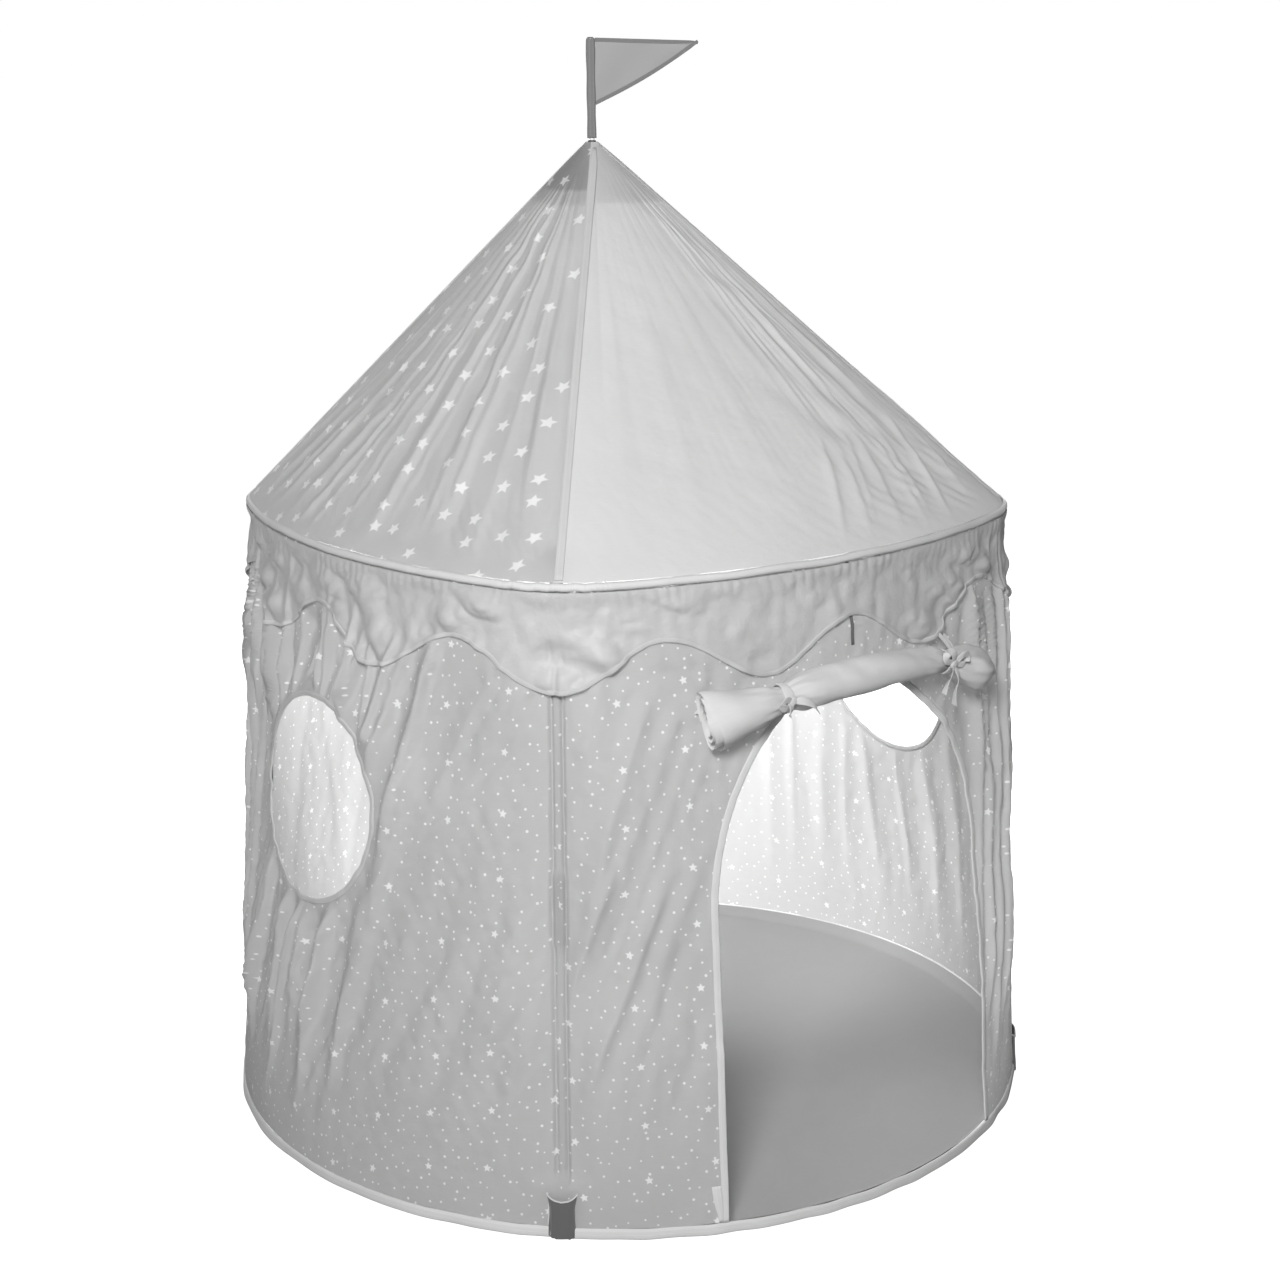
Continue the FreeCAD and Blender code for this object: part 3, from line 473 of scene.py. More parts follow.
def sweep(name, path, ups, section, closed=False, swell=None):
    """A closed tape or tube along a path. ups are the directions its flat face looks in."""
    path, ups = np.asarray(path, float), np.asarray(ups, float) + 0 * np.asarray(path, float)
    if closed:
        tangent = unit(np.roll(path, -1, 0) - np.roll(path, 1, 0))
    else:
        tangent = unit(np.gradient(path, axis=0))
    side = unit(np.cross(tangent, ups))
    up = unit(np.cross(side, tangent))
    count, ring = len(path), len(section)
    swell = np.ones((count, 2)) if swell is None else swell
    points = (path[:, None] + side[:, None] * section[None, :, :1] * swell[:, None, :1]
              + up[:, None] * section[None, :, 1:] * swell[:, None, 1:])
    step = np.linalg.norm(np.diff(path, axis=0), axis=1)
    length = np.concatenate([[0], np.cumsum(step), [step.sum() + step[-1]]])
    around = np.concatenate([[0], np.cumsum(np.linalg.norm(np.roll(section, -1, 0) - section, axis=1))])
    row, column = np.meshgrid(np.arange(count if closed else count - 1), np.arange(ring), indexing="ij")
    row, column = row.ravel(), column.ravel()
    below, following = (row + 1) % count, (column + 1) % ring
    faces = np.stack([row * ring + column, below * ring + column,
                      below * ring + following, row * ring + following], -1).tolist()
    corners = ((row, column), (row + 1, column), (row + 1, column + 1), (row, column + 1))
    uv = np.stack([np.stack([length[i], around[j]], -1) for i, j in corners], 1).reshape(-1, 2)
    if not closed:
        faces += [list(range(ring)), list(range(count * ring - 1, (count - 1) * ring - 1, -1))]
        uv = np.concatenate([uv, section, section[::-1]])
    return make_mesh(name, points.reshape(-1, 3), faces, uv)


def widths(width, thickness=1.0):
    """How a swept section swells along its path, sideways and upwards."""
    return np.stack(np.broadcast_arrays(width, thickness), -1)


def smooth_path(points, steps=12):
    """A curve through points, with steps to each pair."""
    points = np.asarray(points, float)
    padded = np.concatenate([2 * points[:1] - points[1:2], points, 2 * points[-1:] - points[-2:-1]])
    part = np.linspace(0, 1, steps, endpoint=False)[:, None]
    runs = []
    for a, b, c, d in zip(padded, padded[1:], padded[2:], padded[3:]):
        runs.append(0.5 * (2 * b + (c - a) * part + (2 * a - 5 * b + 4 * c - d) * part ** 2
                           + (3 * b - a - 3 * c + d) * part ** 3))
    return np.concatenate(runs + [points[-1:]])


# ---------------------------------------------------------------- materials

class Nodes:
    """A material's node tree, built by short calls that return sockets."""

    def __init__(self, name):
        self.material = bpy.data.materials.new(name)
        self.material.use_nodes = True
        self.tree = self.material.node_tree
        self.tree.nodes.clear()
        self.uv = self.add("ShaderNodeUVMap", {}, "UV", uv_map="cloth")
        self.place = self.add("ShaderNodeTexCoord", {}, "Object")

    def add(self, kind, values, output=0, **settings):
        """A new node, with numbers or sockets put into its inputs. Returns one of its outputs."""
        node = self.tree.nodes.new(kind)
        for name, value in settings.items():
            setattr(node, name, value)
        for socket, value in values.items():
            if isinstance(value, bpy.types.NodeSocket):
                self.tree.links.new(value, node.inputs[socket])
            elif value is not None:
                node.inputs[socket].default_value = value
        return node.outputs[output] if len(node.outputs) else node

    def math(self, operation, *values, clamp=False):
        return self.add("ShaderNodeMath", dict(enumerate(values)), operation=operation, use_clamp=clamp)

    def plus(self, first, second):
        return self.math("ADD", first, second)

    def minus(self, first, second):
        return self.math("SUBTRACT", first, second)

    def times(self, first, second):
        return self.math("MULTIPLY", first, second)

    def soften(self, inside, softness):
        """From a distance inside a shape: 1 in it, 0 outside, and softness the width of its edge."""
        return self.math("MULTIPLY_ADD", inside, 1 / softness, 0.5, clamp=True)

    def vector(self, operation, first, second):
        return self.add("ShaderNodeVectorMath", {0: first, 1: second}, operation=operation)

    def split(self, vector):
        outputs = self.add("ShaderNodeSeparateXYZ", {0: vector}).node.outputs
        return outputs[0], outputs[1]

    def noise(self, vector, scale, detail=2.0):
        return self.add("ShaderNodeTexNoise", {"Vector": vector, "Scale": scale, "Detail": detail}, "Fac")

    def spread(self, value, start, end):
        return self.add("ShaderNodeMapRange", {"Value": value, "To Min": start, "To Max": end}, "Result")

    def grey(self, value):
        return self.add("ShaderNodeCombineColor", {0: value, 1: value, 2: value})

    def bump(self, height, distance, strength, normal=None):
        return self.add("ShaderNodeBump", {"Strength": strength, "Distance": distance, "Height": height,
                                           "Normal": normal}, "Normal")

    def length(self, x, y):
        return self.math("SQRT", self.plus(self.times(x, x), self.times(y, y)))

    def repeat(self, value, pitch):
        """Distance from the middle of the step of a pitch that value is in, as a share of the step."""
        step = self.math("FRACT", self.math("DIVIDE", value, pitch))
        return self.math("ABSOLUTE", self.minus(step, 0.5))

    def scatter(self, pitch, skew=0.0, randomness=1.0):
        """Nearest of many scattered places: the way to it in metres, and a random number for each."""
        u, v = self.split(self.uv)
        across = self.math("DIVIDE", u, pitch[0])
        along = self.minus(self.math("DIVIDE", v, pitch[1]), self.times(across, skew))
        where = self.add("ShaderNodeCombineXYZ", {0: across, 1: along})
        cell = self.add("ShaderNodeTexVoronoi", {"Vector": where, "Scale": 1.0, "Randomness": randomness},
                        "Position", voronoi_dimensions="2D")
        x, y = self.split(self.vector("SUBTRACT", where, cell))
        chance = self.add("ShaderNodeSeparateColor", {0: cell.node.outputs["Color"]})
        return self.times(x, pitch[0]), self.times(self.math("MULTIPLY_ADD", x, skew, y), pitch[1]), chance

    def star(self, x, y, turn, radius, softness):
        """1 inside a five-pointed star, 0 outside."""
        sector = 2 * math.pi / 5
        inner = 0.50 * radius
        edge = (inner * math.sin(sector / 2), radius - inner * math.cos(sector / 2))
        size = math.hypot(*edge)
        distance = self.length(x, y)
        angle = self.plus(self.math("ARCTAN2", x, y), turn)
        fold = self.math("FRACT", self.math("MULTIPLY_ADD", angle, 1 / sector, 0.5))
        fold = self.times(self.math("ABSOLUTE", self.minus(fold, 0.5)), sector)
        along = self.times(self.times(distance, self.math("COSINE", fold)), edge[0] / size)
        beside = self.times(self.times(distance, self.math("SINE", fold)), edge[1] / size)
        return self.soften(self.minus(radius * edge[0] / size, self.plus(along, beside)), softness)

    def dots(self, x, y, chance, smallest, largest, softness):
        return self.soften(self.minus(self.spread(chance, smallest, largest), self.length(x, y)), softness)

    def weave(self, pitch):
        """Threads over and under each other, from 0 to 1."""
        turn = 2 * math.pi / pitch
        warp, weft = (self.math("SINE", self.times(part, turn)) for part in self.split(self.uv))
        return self.math("MULTIPLY_ADD", self.times(warp, weft), 0.5, 0.5)

    def finish(self, surface):
        self.add("ShaderNodeOutputMaterial", {"Surface": surface})
        return self.material

    def finish_cloth(self, front, behind, roughness, normal, back_normal, sheen, through):
        """Cloth that scatters light on both sides and lets some of it through."""
        reflecting = self.add("ShaderNodeBsdfPrincipled", {
            "Base Color": self.grey(front), "Roughness": roughness, "Normal": normal, "Sheen Weight": sheen,
            "Sheen Roughness": 0.5, "Specular IOR Level": 0.3})
        passing = self.add("ShaderNodeBsdfTranslucent", {"Color": self.grey(behind), "Normal": back_normal})
        return self.finish(self.add("ShaderNodeMixShader", {0: through, 1: reflecting, 2: passing}))


THREAD_PITCH = 0.0006
RIB_PITCH = 0.0009
STITCH_PITCH = 0.0030
STITCH_ROW_PITCH = 0.0045
# Painted shade on cloth in front of the lining, standing in for the light that the lining would block: how
# dark it is, and over what distance it begins.
PAINTED_PEAK_SHADE = 0.72
PAINTED_SHADE_EDGE = 0.006


def star_print(nodes):
    """Large stars in loose rows."""
    x, y, chance = nodes.scatter((0.050, 0.046), 0.35, 0.45)
    return nodes.star(x, y, nodes.spread(chance, -0.35, 0.35), 0.0094, 0.0012)


def dot_print(nodes):
    """Rows of small stars with dots between them."""
    x, y, chance = nodes.scatter((0.077, 0.070), 0.27, 0.12)
    stars = nodes.star(x, y, nodes.spread(chance, -0.3, 0.3), 0.0052, 0.0007)
    dots = nodes.dots(*nodes.scatter((0.0165, 0.0175), 0.2, 0.80), 0.0010, 0.0017, 0.0008)
    return nodes.math("MAXIMUM", stars, dots)


def cloth(name, colour, glow, through, printing=None, inks=(), sheen=0.15, roughness=(0.72, 0.90),
          crumple=0.0, shading=0.06, shade_painted_from=None):
    """Thin woven cloth: colour is its own, glow the colour of light through it, through how much passes.

    printing draws on it, in one ink for light that it reflects and one for light that comes through. crumple
    is the height of its creases, shading how uneven its tone is, and shade_painted_from how far up it a
    painted shade begins, which darkens it as if the lining behind it blocked the light coming through.
    """
    nodes = Nodes(name)
    patch = nodes.noise(nodes.place, 5.0, 3.0)
    slub = nodes.noise(nodes.vector("MULTIPLY", nodes.uv, (60.0, 900.0, 1.0)), 1.0, 2.0)
    tone = nodes.times(nodes.spread(patch, 1 - shading, 1 + shading), nodes.spread(slub, 0.97, 1.03))
    # Painted shade: above shade_painted_from the cloth's colour and glow are darkened, standing in for light
    # that the lining behind it blocks.
    if shade_painted_from is not None:
        above = nodes.minus(nodes.split(nodes.uv)[1], shade_painted_from)
        painted_shade = nodes.math("MULTIPLY", above, 1 / PAINTED_SHADE_EDGE, clamp=True)
        tone = nodes.times(tone, nodes.spread(painted_shade, 1.0, PAINTED_PEAK_SHADE))
    tones = [nodes.times(tone, value) for value in (colour, glow)]
    if printing is not None:
        mask = printing(nodes)
        bare = nodes.minus(1.0, mask)
        tones = [nodes.plus(nodes.times(value, bare), nodes.times(mask, ink))
                 for value, ink in zip(tones, inks)]
    normal = nodes.bump(nodes.weave(THREAD_PITCH), 0.00008, 0.5)
    if crumple:
        normal = nodes.bump(nodes.noise(nodes.uv, 42.0, 4.0), crumple, 0.6, normal)
    return nodes.finish_cloth(*tones, nodes.spread(patch, *roughness), normal, normal, sheen, through)


def tape(name, colour, glow, through):
    """Folded binding tape with a row of stitches along each edge."""
    nodes = Nodes(name)
    along, across = nodes.split(nodes.uv)
    patch = nodes.noise(nodes.place, 18.0, 3.0)
    ribs = nodes.math("SINE", nodes.times(along, 2 * math.pi / RIB_PITCH))
    dash = nodes.math("LESS_THAN", nodes.repeat(along, STITCH_PITCH), 0.36)
    row = nodes.math("LESS_THAN", nodes.repeat(across, STITCH_ROW_PITCH), 0.07)
    thread = nodes.times(dash, row)
    tone = nodes.spread(patch, 0.92, 1.06)
    front = nodes.math("MULTIPLY_ADD", thread, 0.10, nodes.times(tone, colour))
    height = nodes.math("MULTIPLY_ADD", thread, 3.0, nodes.times(ribs, 0.4))
    return nodes.finish_cloth(front, nodes.times(tone, glow), nodes.spread(patch, 0.70, 0.88),
                              nodes.bump(height, 0.00012, 0.6), None, 0.2, through)


def hard(nodes, colour, roughness, **more):
    """A surface that lets no light through, from a socket for its grey and one for its roughness."""
    return nodes.finish(nodes.add("ShaderNodeBsdfPrincipled", {
        "Base Color": nodes.grey(colour), "Roughness": roughness, **more}))


def plastic(name, colour, roughness=(0.35, 0.55), grain=0.0001):
    """Moulded plastic with a fine grain and rubbed patches."""
    nodes = Nodes(name)
    patch = nodes.noise(nodes.place, 35.0, 4.0)
    pits = nodes.bump(nodes.noise(nodes.place, 1800.0, 2.0), grain, 0.3)
    return hard(nodes, nodes.spread(patch, colour * 0.88, colour * 1.12), nodes.spread(patch, *roughness),
                Normal=pits)


def spring_steel(name):
    nodes = Nodes(name)
    scuff = nodes.noise(nodes.vector("MULTIPLY", nodes.place, (20.0, 20.0, 400.0)), 4.0, 3.0)
    return hard(nodes, nodes.spread(scuff, 0.42, 0.58), nodes.spread(scuff, 0.22, 0.42), Metallic=1.0)


WALL_CLOTH = cloth("wall_cloth", 0.43, 0.78, 0.36, dot_print, (0.82, 0.88), 0.01, crumple=0.0022,
                   shading=0.09)
# The star cloth has painted shade from 0.542 up its slope, for the lining behind it near the peak.
ROOF_STAR_CLOTH = cloth("roof_star_cloth", 0.48, 0.82, 0.36, star_print, (0.80, 0.86), crumple=0.0018,
                        shade_painted_from=0.542)
ROOF_PLAIN_CLOTH = cloth("roof_plain_cloth", 0.64, 0.84, 0.36, crumple=0.0014)
VALANCE_CLOTH = cloth("valance_cloth", 0.50, 0.62, 0.20, sheen=0.20, roughness=(0.34, 0.50), crumple=0.0040)
LINING_CLOTH = cloth("lining_cloth", 0.28, 0.40, 0.28)
DOOR_CLOTH = cloth("door_cloth", 0.70, 0.82, 0.35, sheen=0.2, roughness=(0.55, 0.75), crumple=0.0022)
FLOOR_CLOTH = cloth("floor_cloth", 0.30, 0.28, 0.08, roughness=(0.60, 0.80), crumple=0.0008, shading=0.03)
POCKET_CLOTH = cloth("pocket_cloth", 0.10, 0.05, 0.05, sheen=0.5, roughness=(0.45, 0.65))
FLAG_CLOTH = cloth("flag_cloth", 0.28, 0.18, 0.20, roughness=(0.50, 0.70))
BINDING_TAPE = tape("binding_tape", 0.68, 0.74, 0.25)
VALANCE_TAPE = tape("valance_tape", 0.56, 0.60, 0.25)
SEAM_TAPE = tape("seam_tape", 0.62, 0.60, 0.30)
WINDOW_TAPE = tape("window_tape", 0.58, 0.66, 0.30)
FLAG_TAPE = tape("flag_tape", 0.19, 0.18, 0.15)
HANGER_TAPE = tape("hanger_tape", 0.12, 0.08, 0.05)
TUBE_PLASTIC = plastic("tube_plastic", 0.78)
JOINER_PLASTIC = plastic("joiner_plastic", 0.03)
CONNECTOR_PLASTIC = plastic("connector_plastic", 0.06, (0.45, 0.62), 0.0002)
SPRING_STEEL = spring_steel("spring_steel")


def dress(obj, material, body="root", replaces=None):
    """Give a piece its material and its body, and hide the CAD node that it stands for."""
    obj.data.materials.append(material)
    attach(obj, body)
    if replaces:
        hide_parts(replaces)
    return obj


# ---------------------------------------------------------------- walls

WALL_ROWS = 130
SPOKE_ROWS = 110
SAG_PLACE, SAG_WIDTH = 0.105, 0.055
WINDOW_RING = WINDOW_RADIUS + WINDOW_BINDING / 2


def arch_outline(grow, count):
    """Sideways place and height of points round the doorway, from its left foot over the top."""
    crown = DOOR_TOP + grow
    half = DOOR_SPRING_HALF_WIDTH + grow
    foot = DOOR_HALF_WIDTH + grow
    turn = np.linspace(0, math.pi / 2, count)
    lateral = np.concatenate([np.linspace(foot, half, count)[:-1], half * np.cos(turn)])
    height = np.concatenate([np.linspace(WALL_FOOT, DOOR_SPRING, count)[:-1],
                             DOOR_SPRING + (crown - DOOR_SPRING) * np.sin(turn)])
    lateral = np.concatenate([-lateral, lateral[-2::-1]])
    height = np.concatenate([height, height[-2::-1]])
    slack = DOOR_SAG * np.exp(-((lateral - SAG_PLACE) / SAG_WIDTH) ** 2)
    return lateral, height - slack * smooth(height, DOOR_SPRING, DOOR_SPRING + 0.10)


def evenly(lateral, height, shares):
    """Points of a line at shares of its length."""
    length = np.concatenate([[0], np.cumsum(np.hypot(np.diff(lateral), np.diff(height)))])
    length = length / length[-1]
    return np.interp(shares, length, lateral), np.interp(shares, length, height)


def wall_sheet(side, local, height, closed=False):
    """A side's cloth from a grid of headings and heights."""
    points = wall_points(side, local, height)
    uv = np.stack([arc_length(local, height), height], -1)
    if closed:
        uv = np.concatenate([uv, uv[:, :1]], 1)
    return dress(grid("wall_cloth_" + side, points, uv, closed), WALL_CLOTH,
                 replaces="wall_" + side)


def wall_with_opening(side, inner, inner_height, outer, outer_height, closed=False):
    """A side's cloth between an opening and its rim, its rows close together at the opening's edge."""
    share = np.linspace(0, 1, SPOKE_ROWS)[:, None]
    part = 0.45 * share + 0.55 * (1 - (1 - share) ** 1.9)
    return wall_sheet(side, inner + part * (outer - inner),
                      inner_height + part * (outer_height - inner_height), closed)


def wall_with_door():
    seam, top = 130, 100
    corner = 0.36
    shares = np.concatenate([np.linspace(0, corner, seam)[:-1], np.linspace(corner, 1 - corner, 2 * top)[:-1],
                             np.linspace(1 - corner, 1, seam)])
    lateral, inner_height = evenly(*arch_outline(DOOR_BINDING / 2, 200), shares)
    rise = np.linspace(WALL_FOOT, WALL_TOP, seam)
    across = even_headings(2 * top, WALL_TOP)
    outer = np.concatenate([np.full(seam - 1, -QUADRANT), across[:-1], np.full(seam, QUADRANT)])
    outer_height = np.concatenate([rise[:-1], np.full(2 * top - 1, WALL_TOP), rise[::-1]])
    return wall_with_opening("front", heading_at(lateral, inner_height), inner_height, outer, outer_height)


def wall_with_window(side):
    wide, tall = 170, 120
    across = even_headings(wide, EAVE_HEIGHT / 2)
    rise = np.linspace(WALL_FOOT, WALL_TOP, tall)
    outer = np.concatenate([across[:-1], np.full(tall - 1, QUADRANT), across[:0:-1],
                            np.full(tall - 1, -QUADRANT)])
    outer_height = np.concatenate([np.full(wide - 1, WALL_FOOT), rise[:-1], np.full(wide - 1, WALL_TOP),
                                   rise[:0:-1]])
    angle = np.arctan2(outer_height - WINDOW_HEIGHT, arc_length(outer, outer_height))
    inner_height = WINDOW_HEIGHT + WINDOW_RING * np.sin(angle)
    inner = heading_at(WINDOW_RING * np.cos(angle), inner_height)
    return wall_with_opening(side, inner, inner_height, outer, outer_height, closed=True)


def plain_wall(side):
    headings = even_headings(190, EAVE_HEIGHT / 2)
    return wall_sheet(side, *np.meshgrid(headings, np.linspace(WALL_FOOT, WALL_TOP, WALL_ROWS)))


def edge_tape(name, side, lateral, height, size, material, node, closed=False):
    """Binding folded over the edge of an opening."""
    local = heading_at(lateral, height)
    path = wall_points(side, local, height)
    count = len(path)
    pucker = 1 + 0.10 * waves(np.arange(count) * 0.004, np.zeros(count), 5, 0.03)
    piece = sweep(name, path, facing(local + SIDES[side]), tape_section(*size), closed,
                  widths(1.0, pucker))
    return dress(piece, material, replaces=node)


def make_door_edge():
    lateral, height = evenly(*arch_outline(DOOR_BINDING / 2, 200), np.linspace(0, 1, 300))
    return edge_tape("door_edge_tape", "front", lateral, height, DOOR_TAPE_SIZE, BINDING_TAPE, "door_binding")


def make_window_edge(side):
    turn = full_turn(160)
    return edge_tape("window_edge_tape_" + side, side, WINDOW_RING * np.cos(turn),
                     WINDOW_HEIGHT + WINDOW_RING * np.sin(turn), WINDOW_TAPE_SIZE, WINDOW_TAPE,
                     "window_binding_" + side, closed=True)


def make_door_tab():
    """Short tape that strengthens the foot of the doorway's left edge."""
    height = np.linspace(HEM_TOP + 0.002, HEM_TOP + 0.046, 12)
    lean = 0.004 * (1 - smooth(height, HEM_TOP, HEM_TOP + 0.05))
    local = heading_at(-DOOR_HALF_WIDTH - DOOR_BINDING - 0.0045 + lean, height)
    widening = 0.45 + 0.55 * smooth(height, HEM_TOP, HEM_TOP + 0.03)
    path = wall_points("front", local, height, 0.0016)
    piece = sweep("door_edge_tab", path, facing(local + SIDES["front"]), tape_section(*DOOR_TAB_SIZE), False,
                  widths(widening))
    return dress(piece, BINDING_TAPE)


walls = {"front": wall_with_door(), "left": wall_with_window("left"), "right": wall_with_window("right"),
         "back": plain_wall("back")}
door_edge = make_door_edge()
window_edges = {side: make_window_edge(side) for side in ("left", "right")}
door_tab = make_door_tab()


# ---------------------------------------------------------------- hem and floor

HEM_INSET = 0.0026
# The floor's cloth turns up over this much of its rim, by this much, and ends this far inside the hem.
FLOOR_RIM, FLOOR_TURN_UP, FLOOR_END = 0.0200, 0.0125, 0.0056


def make_hem():
    turn = full_turn(720)
    ripple = waves(np.cos(turn) * 0.5, np.sin(turn) * 0.5, 91, 0.05)
    radius = HEM_RADIUS - HEM_INSET + 0.0009 * ripple
    height = HEM_TOP / 2 + 0.0004 * (1 + waves(np.cos(turn) * 0.5, np.sin(turn) * 0.5, 92, 0.07))
    path = np.stack([radius * np.cos(turn), radius * np.sin(turn), height], -1)
    lean = np.stack([np.cos(turn), np.sin(turn), 0.10 + 0.08 * ripple], -1)
    piece = sweep("base_hem_tape", path, lean, tape_section(*HEM_TAPE_SIZE), True)
    return dress(piece, BINDING_TAPE, replaces="base_hem")


def make_floor():
    rings, spokes = 64, 200
    radius = np.concatenate([np.linspace(0.0, HEM_RADIUS - FLOOR_RIM, rings - 8)[1:],
                             np.linspace(HEM_RADIUS - 0.0185, HEM_RADIUS - FLOOR_END, 8)])[:, None]
    turn = full_turn(spokes)[None]
    x, y = radius * np.cos(turn), radius * np.sin(turn)
    ripple = 0.5 + 0.5 * waves(x, y, 95, 0.16, 0.4, 1.6, 14)
    fine = 0.5 + 0.5 * waves(x, y, 96, 0.05, 1.2, 1.6, 14)
    held = smooth(radius, HEM_RADIUS - 0.01, HEM_RADIUS - 0.08)
    height = 0.0010 + held * (0.0022 * ripple ** 2 + 0.0006 * fine)
    height = height + FLOOR_TURN_UP * np.clip((radius - HEM_RADIUS + FLOOR_RIM) / 0.0144, 0, 1) ** 1.6
    points = np.stack([x, y, height], -1)
    uv = np.stack([x, y], -1)
    uv = np.concatenate([uv, uv[:, :1]], 1)
    piece = grid("floor_cloth_sheet", points, uv, closed=True)
    mesh = piece.data
    middle = len(mesh.vertices)
    vertices = [tuple(v.co) for v in mesh.vertices] + [(0.0, 0.0, float(height[0].mean()))]
    faces = [tuple(p.vertices) for p in mesh.polygons]
    corners = [tuple(d.uv) for d in mesh.uv_layers[0].data]
    for spoke in range(spokes):
        following = (spoke + 1) % spokes
        faces.append((middle, spoke, following))
        corners += [(0.0, 0.0), tuple(points[0, spoke, :2]), tuple(points[0, following, :2])]
    bpy.data.objects.remove(piece)
    return dress(make_mesh("floor_cloth_sheet", vertices, faces, corners), FLOOR_CLOTH,
                 replaces="floor_sheet")


hem = make_hem()
floor_cloth = make_floor()


# ---------------------------------------------------------------- valance

VALANCE_PLAN = wall_radii(SCALLOP_MEAN)
VALANCE_LENGTH = 8 * float(distance_along(QUADRANT, *VALANCE_PLAN))
VALANCE_COLUMNS = 1300
VALANCE_STAND = 0.0050
VALANCE_FLARE = 0.0040
GATHER_DEPTH = 0.0016
VALANCE_SEAM_DEPTH, VALANCE_SEAM_WIDTH = 0.0035, 0.0030
# It keeps this far off the wall's cloth, easing away from it over the second distance.
VALANCE_CLEARANCE, CLEARANCE_BLEND = 0.0018, 0.0015
# Its crossing creases: depth, seed, pitch, tilt, spread and sharpness.
VALANCE_CREASES = ((0.0140, 102, 0.046, 0.85, 0.25, 0.02),
                   (0.0110, 105, 0.052, -0.80, 0.30, 0.02),
                   (0.0034, 103, 0.018, 0.50, 0.90, 0.03))


def round_the_valance():
    """Headings evenly spaced along the whole ring of cloth, with their distances and directions."""
    along = np.arange(VALANCE_COLUMNS) * VALANCE_LENGTH / VALANCE_COLUMNS
    side = np.floor(along / (VALANCE_LENGTH / 4))
    heading = side * 2 * QUADRANT + heading_along(along - (side + 0.5) * VALANCE_LENGTH / 4, *VALANCE_PLAN)
    x, y = outline(heading, *VALANCE_PLAN)
    return heading, along, np.arctan2(y, x)


def scallop_height(direction):
    return SCALLOP_MEAN - SCALLOP_DEPTH * np.cos(SCALLOPS * (direction - QUADRANT))


def valance_points(heading, along, height):
    """The valance hangs just outside the wall, crumpled, its points lifting a little."""
    mid, pole = wall_radii(height)
    x, y = outline(heading, mid, pole)
    drop = (WALL_TOP - height) / (WALL_TOP - SCALLOP_LOW)
    slack = smooth(drop, 0.0, 0.35)
    crumple = 0.0100 + 0.0055 * waves(along, height, 101, 0.110, 0.55, 0.35, 12, VALANCE_LENGTH)
    for depth, *shape in VALANCE_CREASES:
        crumple = crumple + depth * creases(along, height, *shape, VALANCE_LENGTH)
    gather = creases(along, height, 104, 0.012, 0.0, 0.15, 0.1, VALANCE_LENGTH) * smooth(drop, 0.50, 0.0)
    out = VALANCE_STAND + slack * crumple + GATHER_DEPTH * gather + VALANCE_FLARE * drop ** 2
    for seam in list(POLES.values()) + [SIDES["front"]]:
        gap = np.abs(np.angle(np.exp(1j * (heading - seam)))) * arc_sizes(*VALANCE_PLAN)[1]
        out = out - slack * VALANCE_SEAM_DEPTH * np.exp(-(gap / VALANCE_SEAM_WIDTH) ** 2)
    side = np.round(heading / (2 * QUADRANT)).astype(int) % 4
    heading, side = heading + 0 * out, side + 0 * out.astype(int)
    level = height + 0 * out
    under = np.zeros_like(out)
    for index, name in enumerate(("right", "back", "left", "front")):
        here = side == index
        local = np.angle(np.exp(1j * (heading[here] - SIDES[name])))
        under[here] = wall_offset(name, local, level[here])
    clear = under + VALANCE_CLEARANCE - UNDER_VALANCE * smooth(level, SCALLOP_MEAN, WALL_TOP - 0.02)
    out = clear + np.logaddexp(0, (out - clear) / CLEARANCE_BLEND) * CLEARANCE_BLEND
    return np.stack([x + out * np.cos(heading), y + out * np.sin(heading), level], -1)


def make_valance():
    heading, along, direction = (line[None] for line in round_the_valance())
    part = np.linspace(0, 1, 40)[:, None]
    edge = scallop_height(direction) + 0.003
    height = WALL_TOP + part * (edge - WALL_TOP)
    heading, along = heading + 0 * part, along + 0 * part
    uv = np.stack([along, height], -1)
    closing = uv[:, :1] + np.array([VALANCE_LENGTH, 0])
    sheet = dress(grid("valance_cloth_ring", valance_points(heading, along, height),
                       np.concatenate([uv, closing], 1), closed=True), VALANCE_CLOTH,
                  replaces="valance")
    heading, along, direction = round_the_valance()
    path = valance_points(heading, along, scallop_height(direction) + 0.0033)
    edge = sweep("valance_edge_tape", path, facing(heading), tape_section(*VALANCE_TAPE_SIZE), True)
    return sheet, dress(edge, VALANCE_TAPE, replaces="valance_binding")


valance, valance_edge = make_valance()


# ---------------------------------------------------------------- roof

def make_roof(side):
    headings = heading_along(np.linspace(-EAVE_HALF, EAVE_HALF, 180), EAVE_MID, EAVE_POLE)
    local, part = np.meshgrid(headings, np.linspace(0, 1, 150))
    points = roof_points(side, local, part)
    slope = math.hypot(APEX.z - ROOF_FOOT, EAVE_MID)
    uv = np.stack([distance_along(local, *roof_radii(part)), part * slope], -1)
    material, slot = ((ROOF_STAR_CLOTH, "roof_star_cloth") if side in ("left", "right")
                      else (ROOF_PLAIN_CLOTH, "roof_plain_cloth"))
    return dress(grid("roof_cloth_" + side, points, uv), material, replaces="roof_panel_" + side)


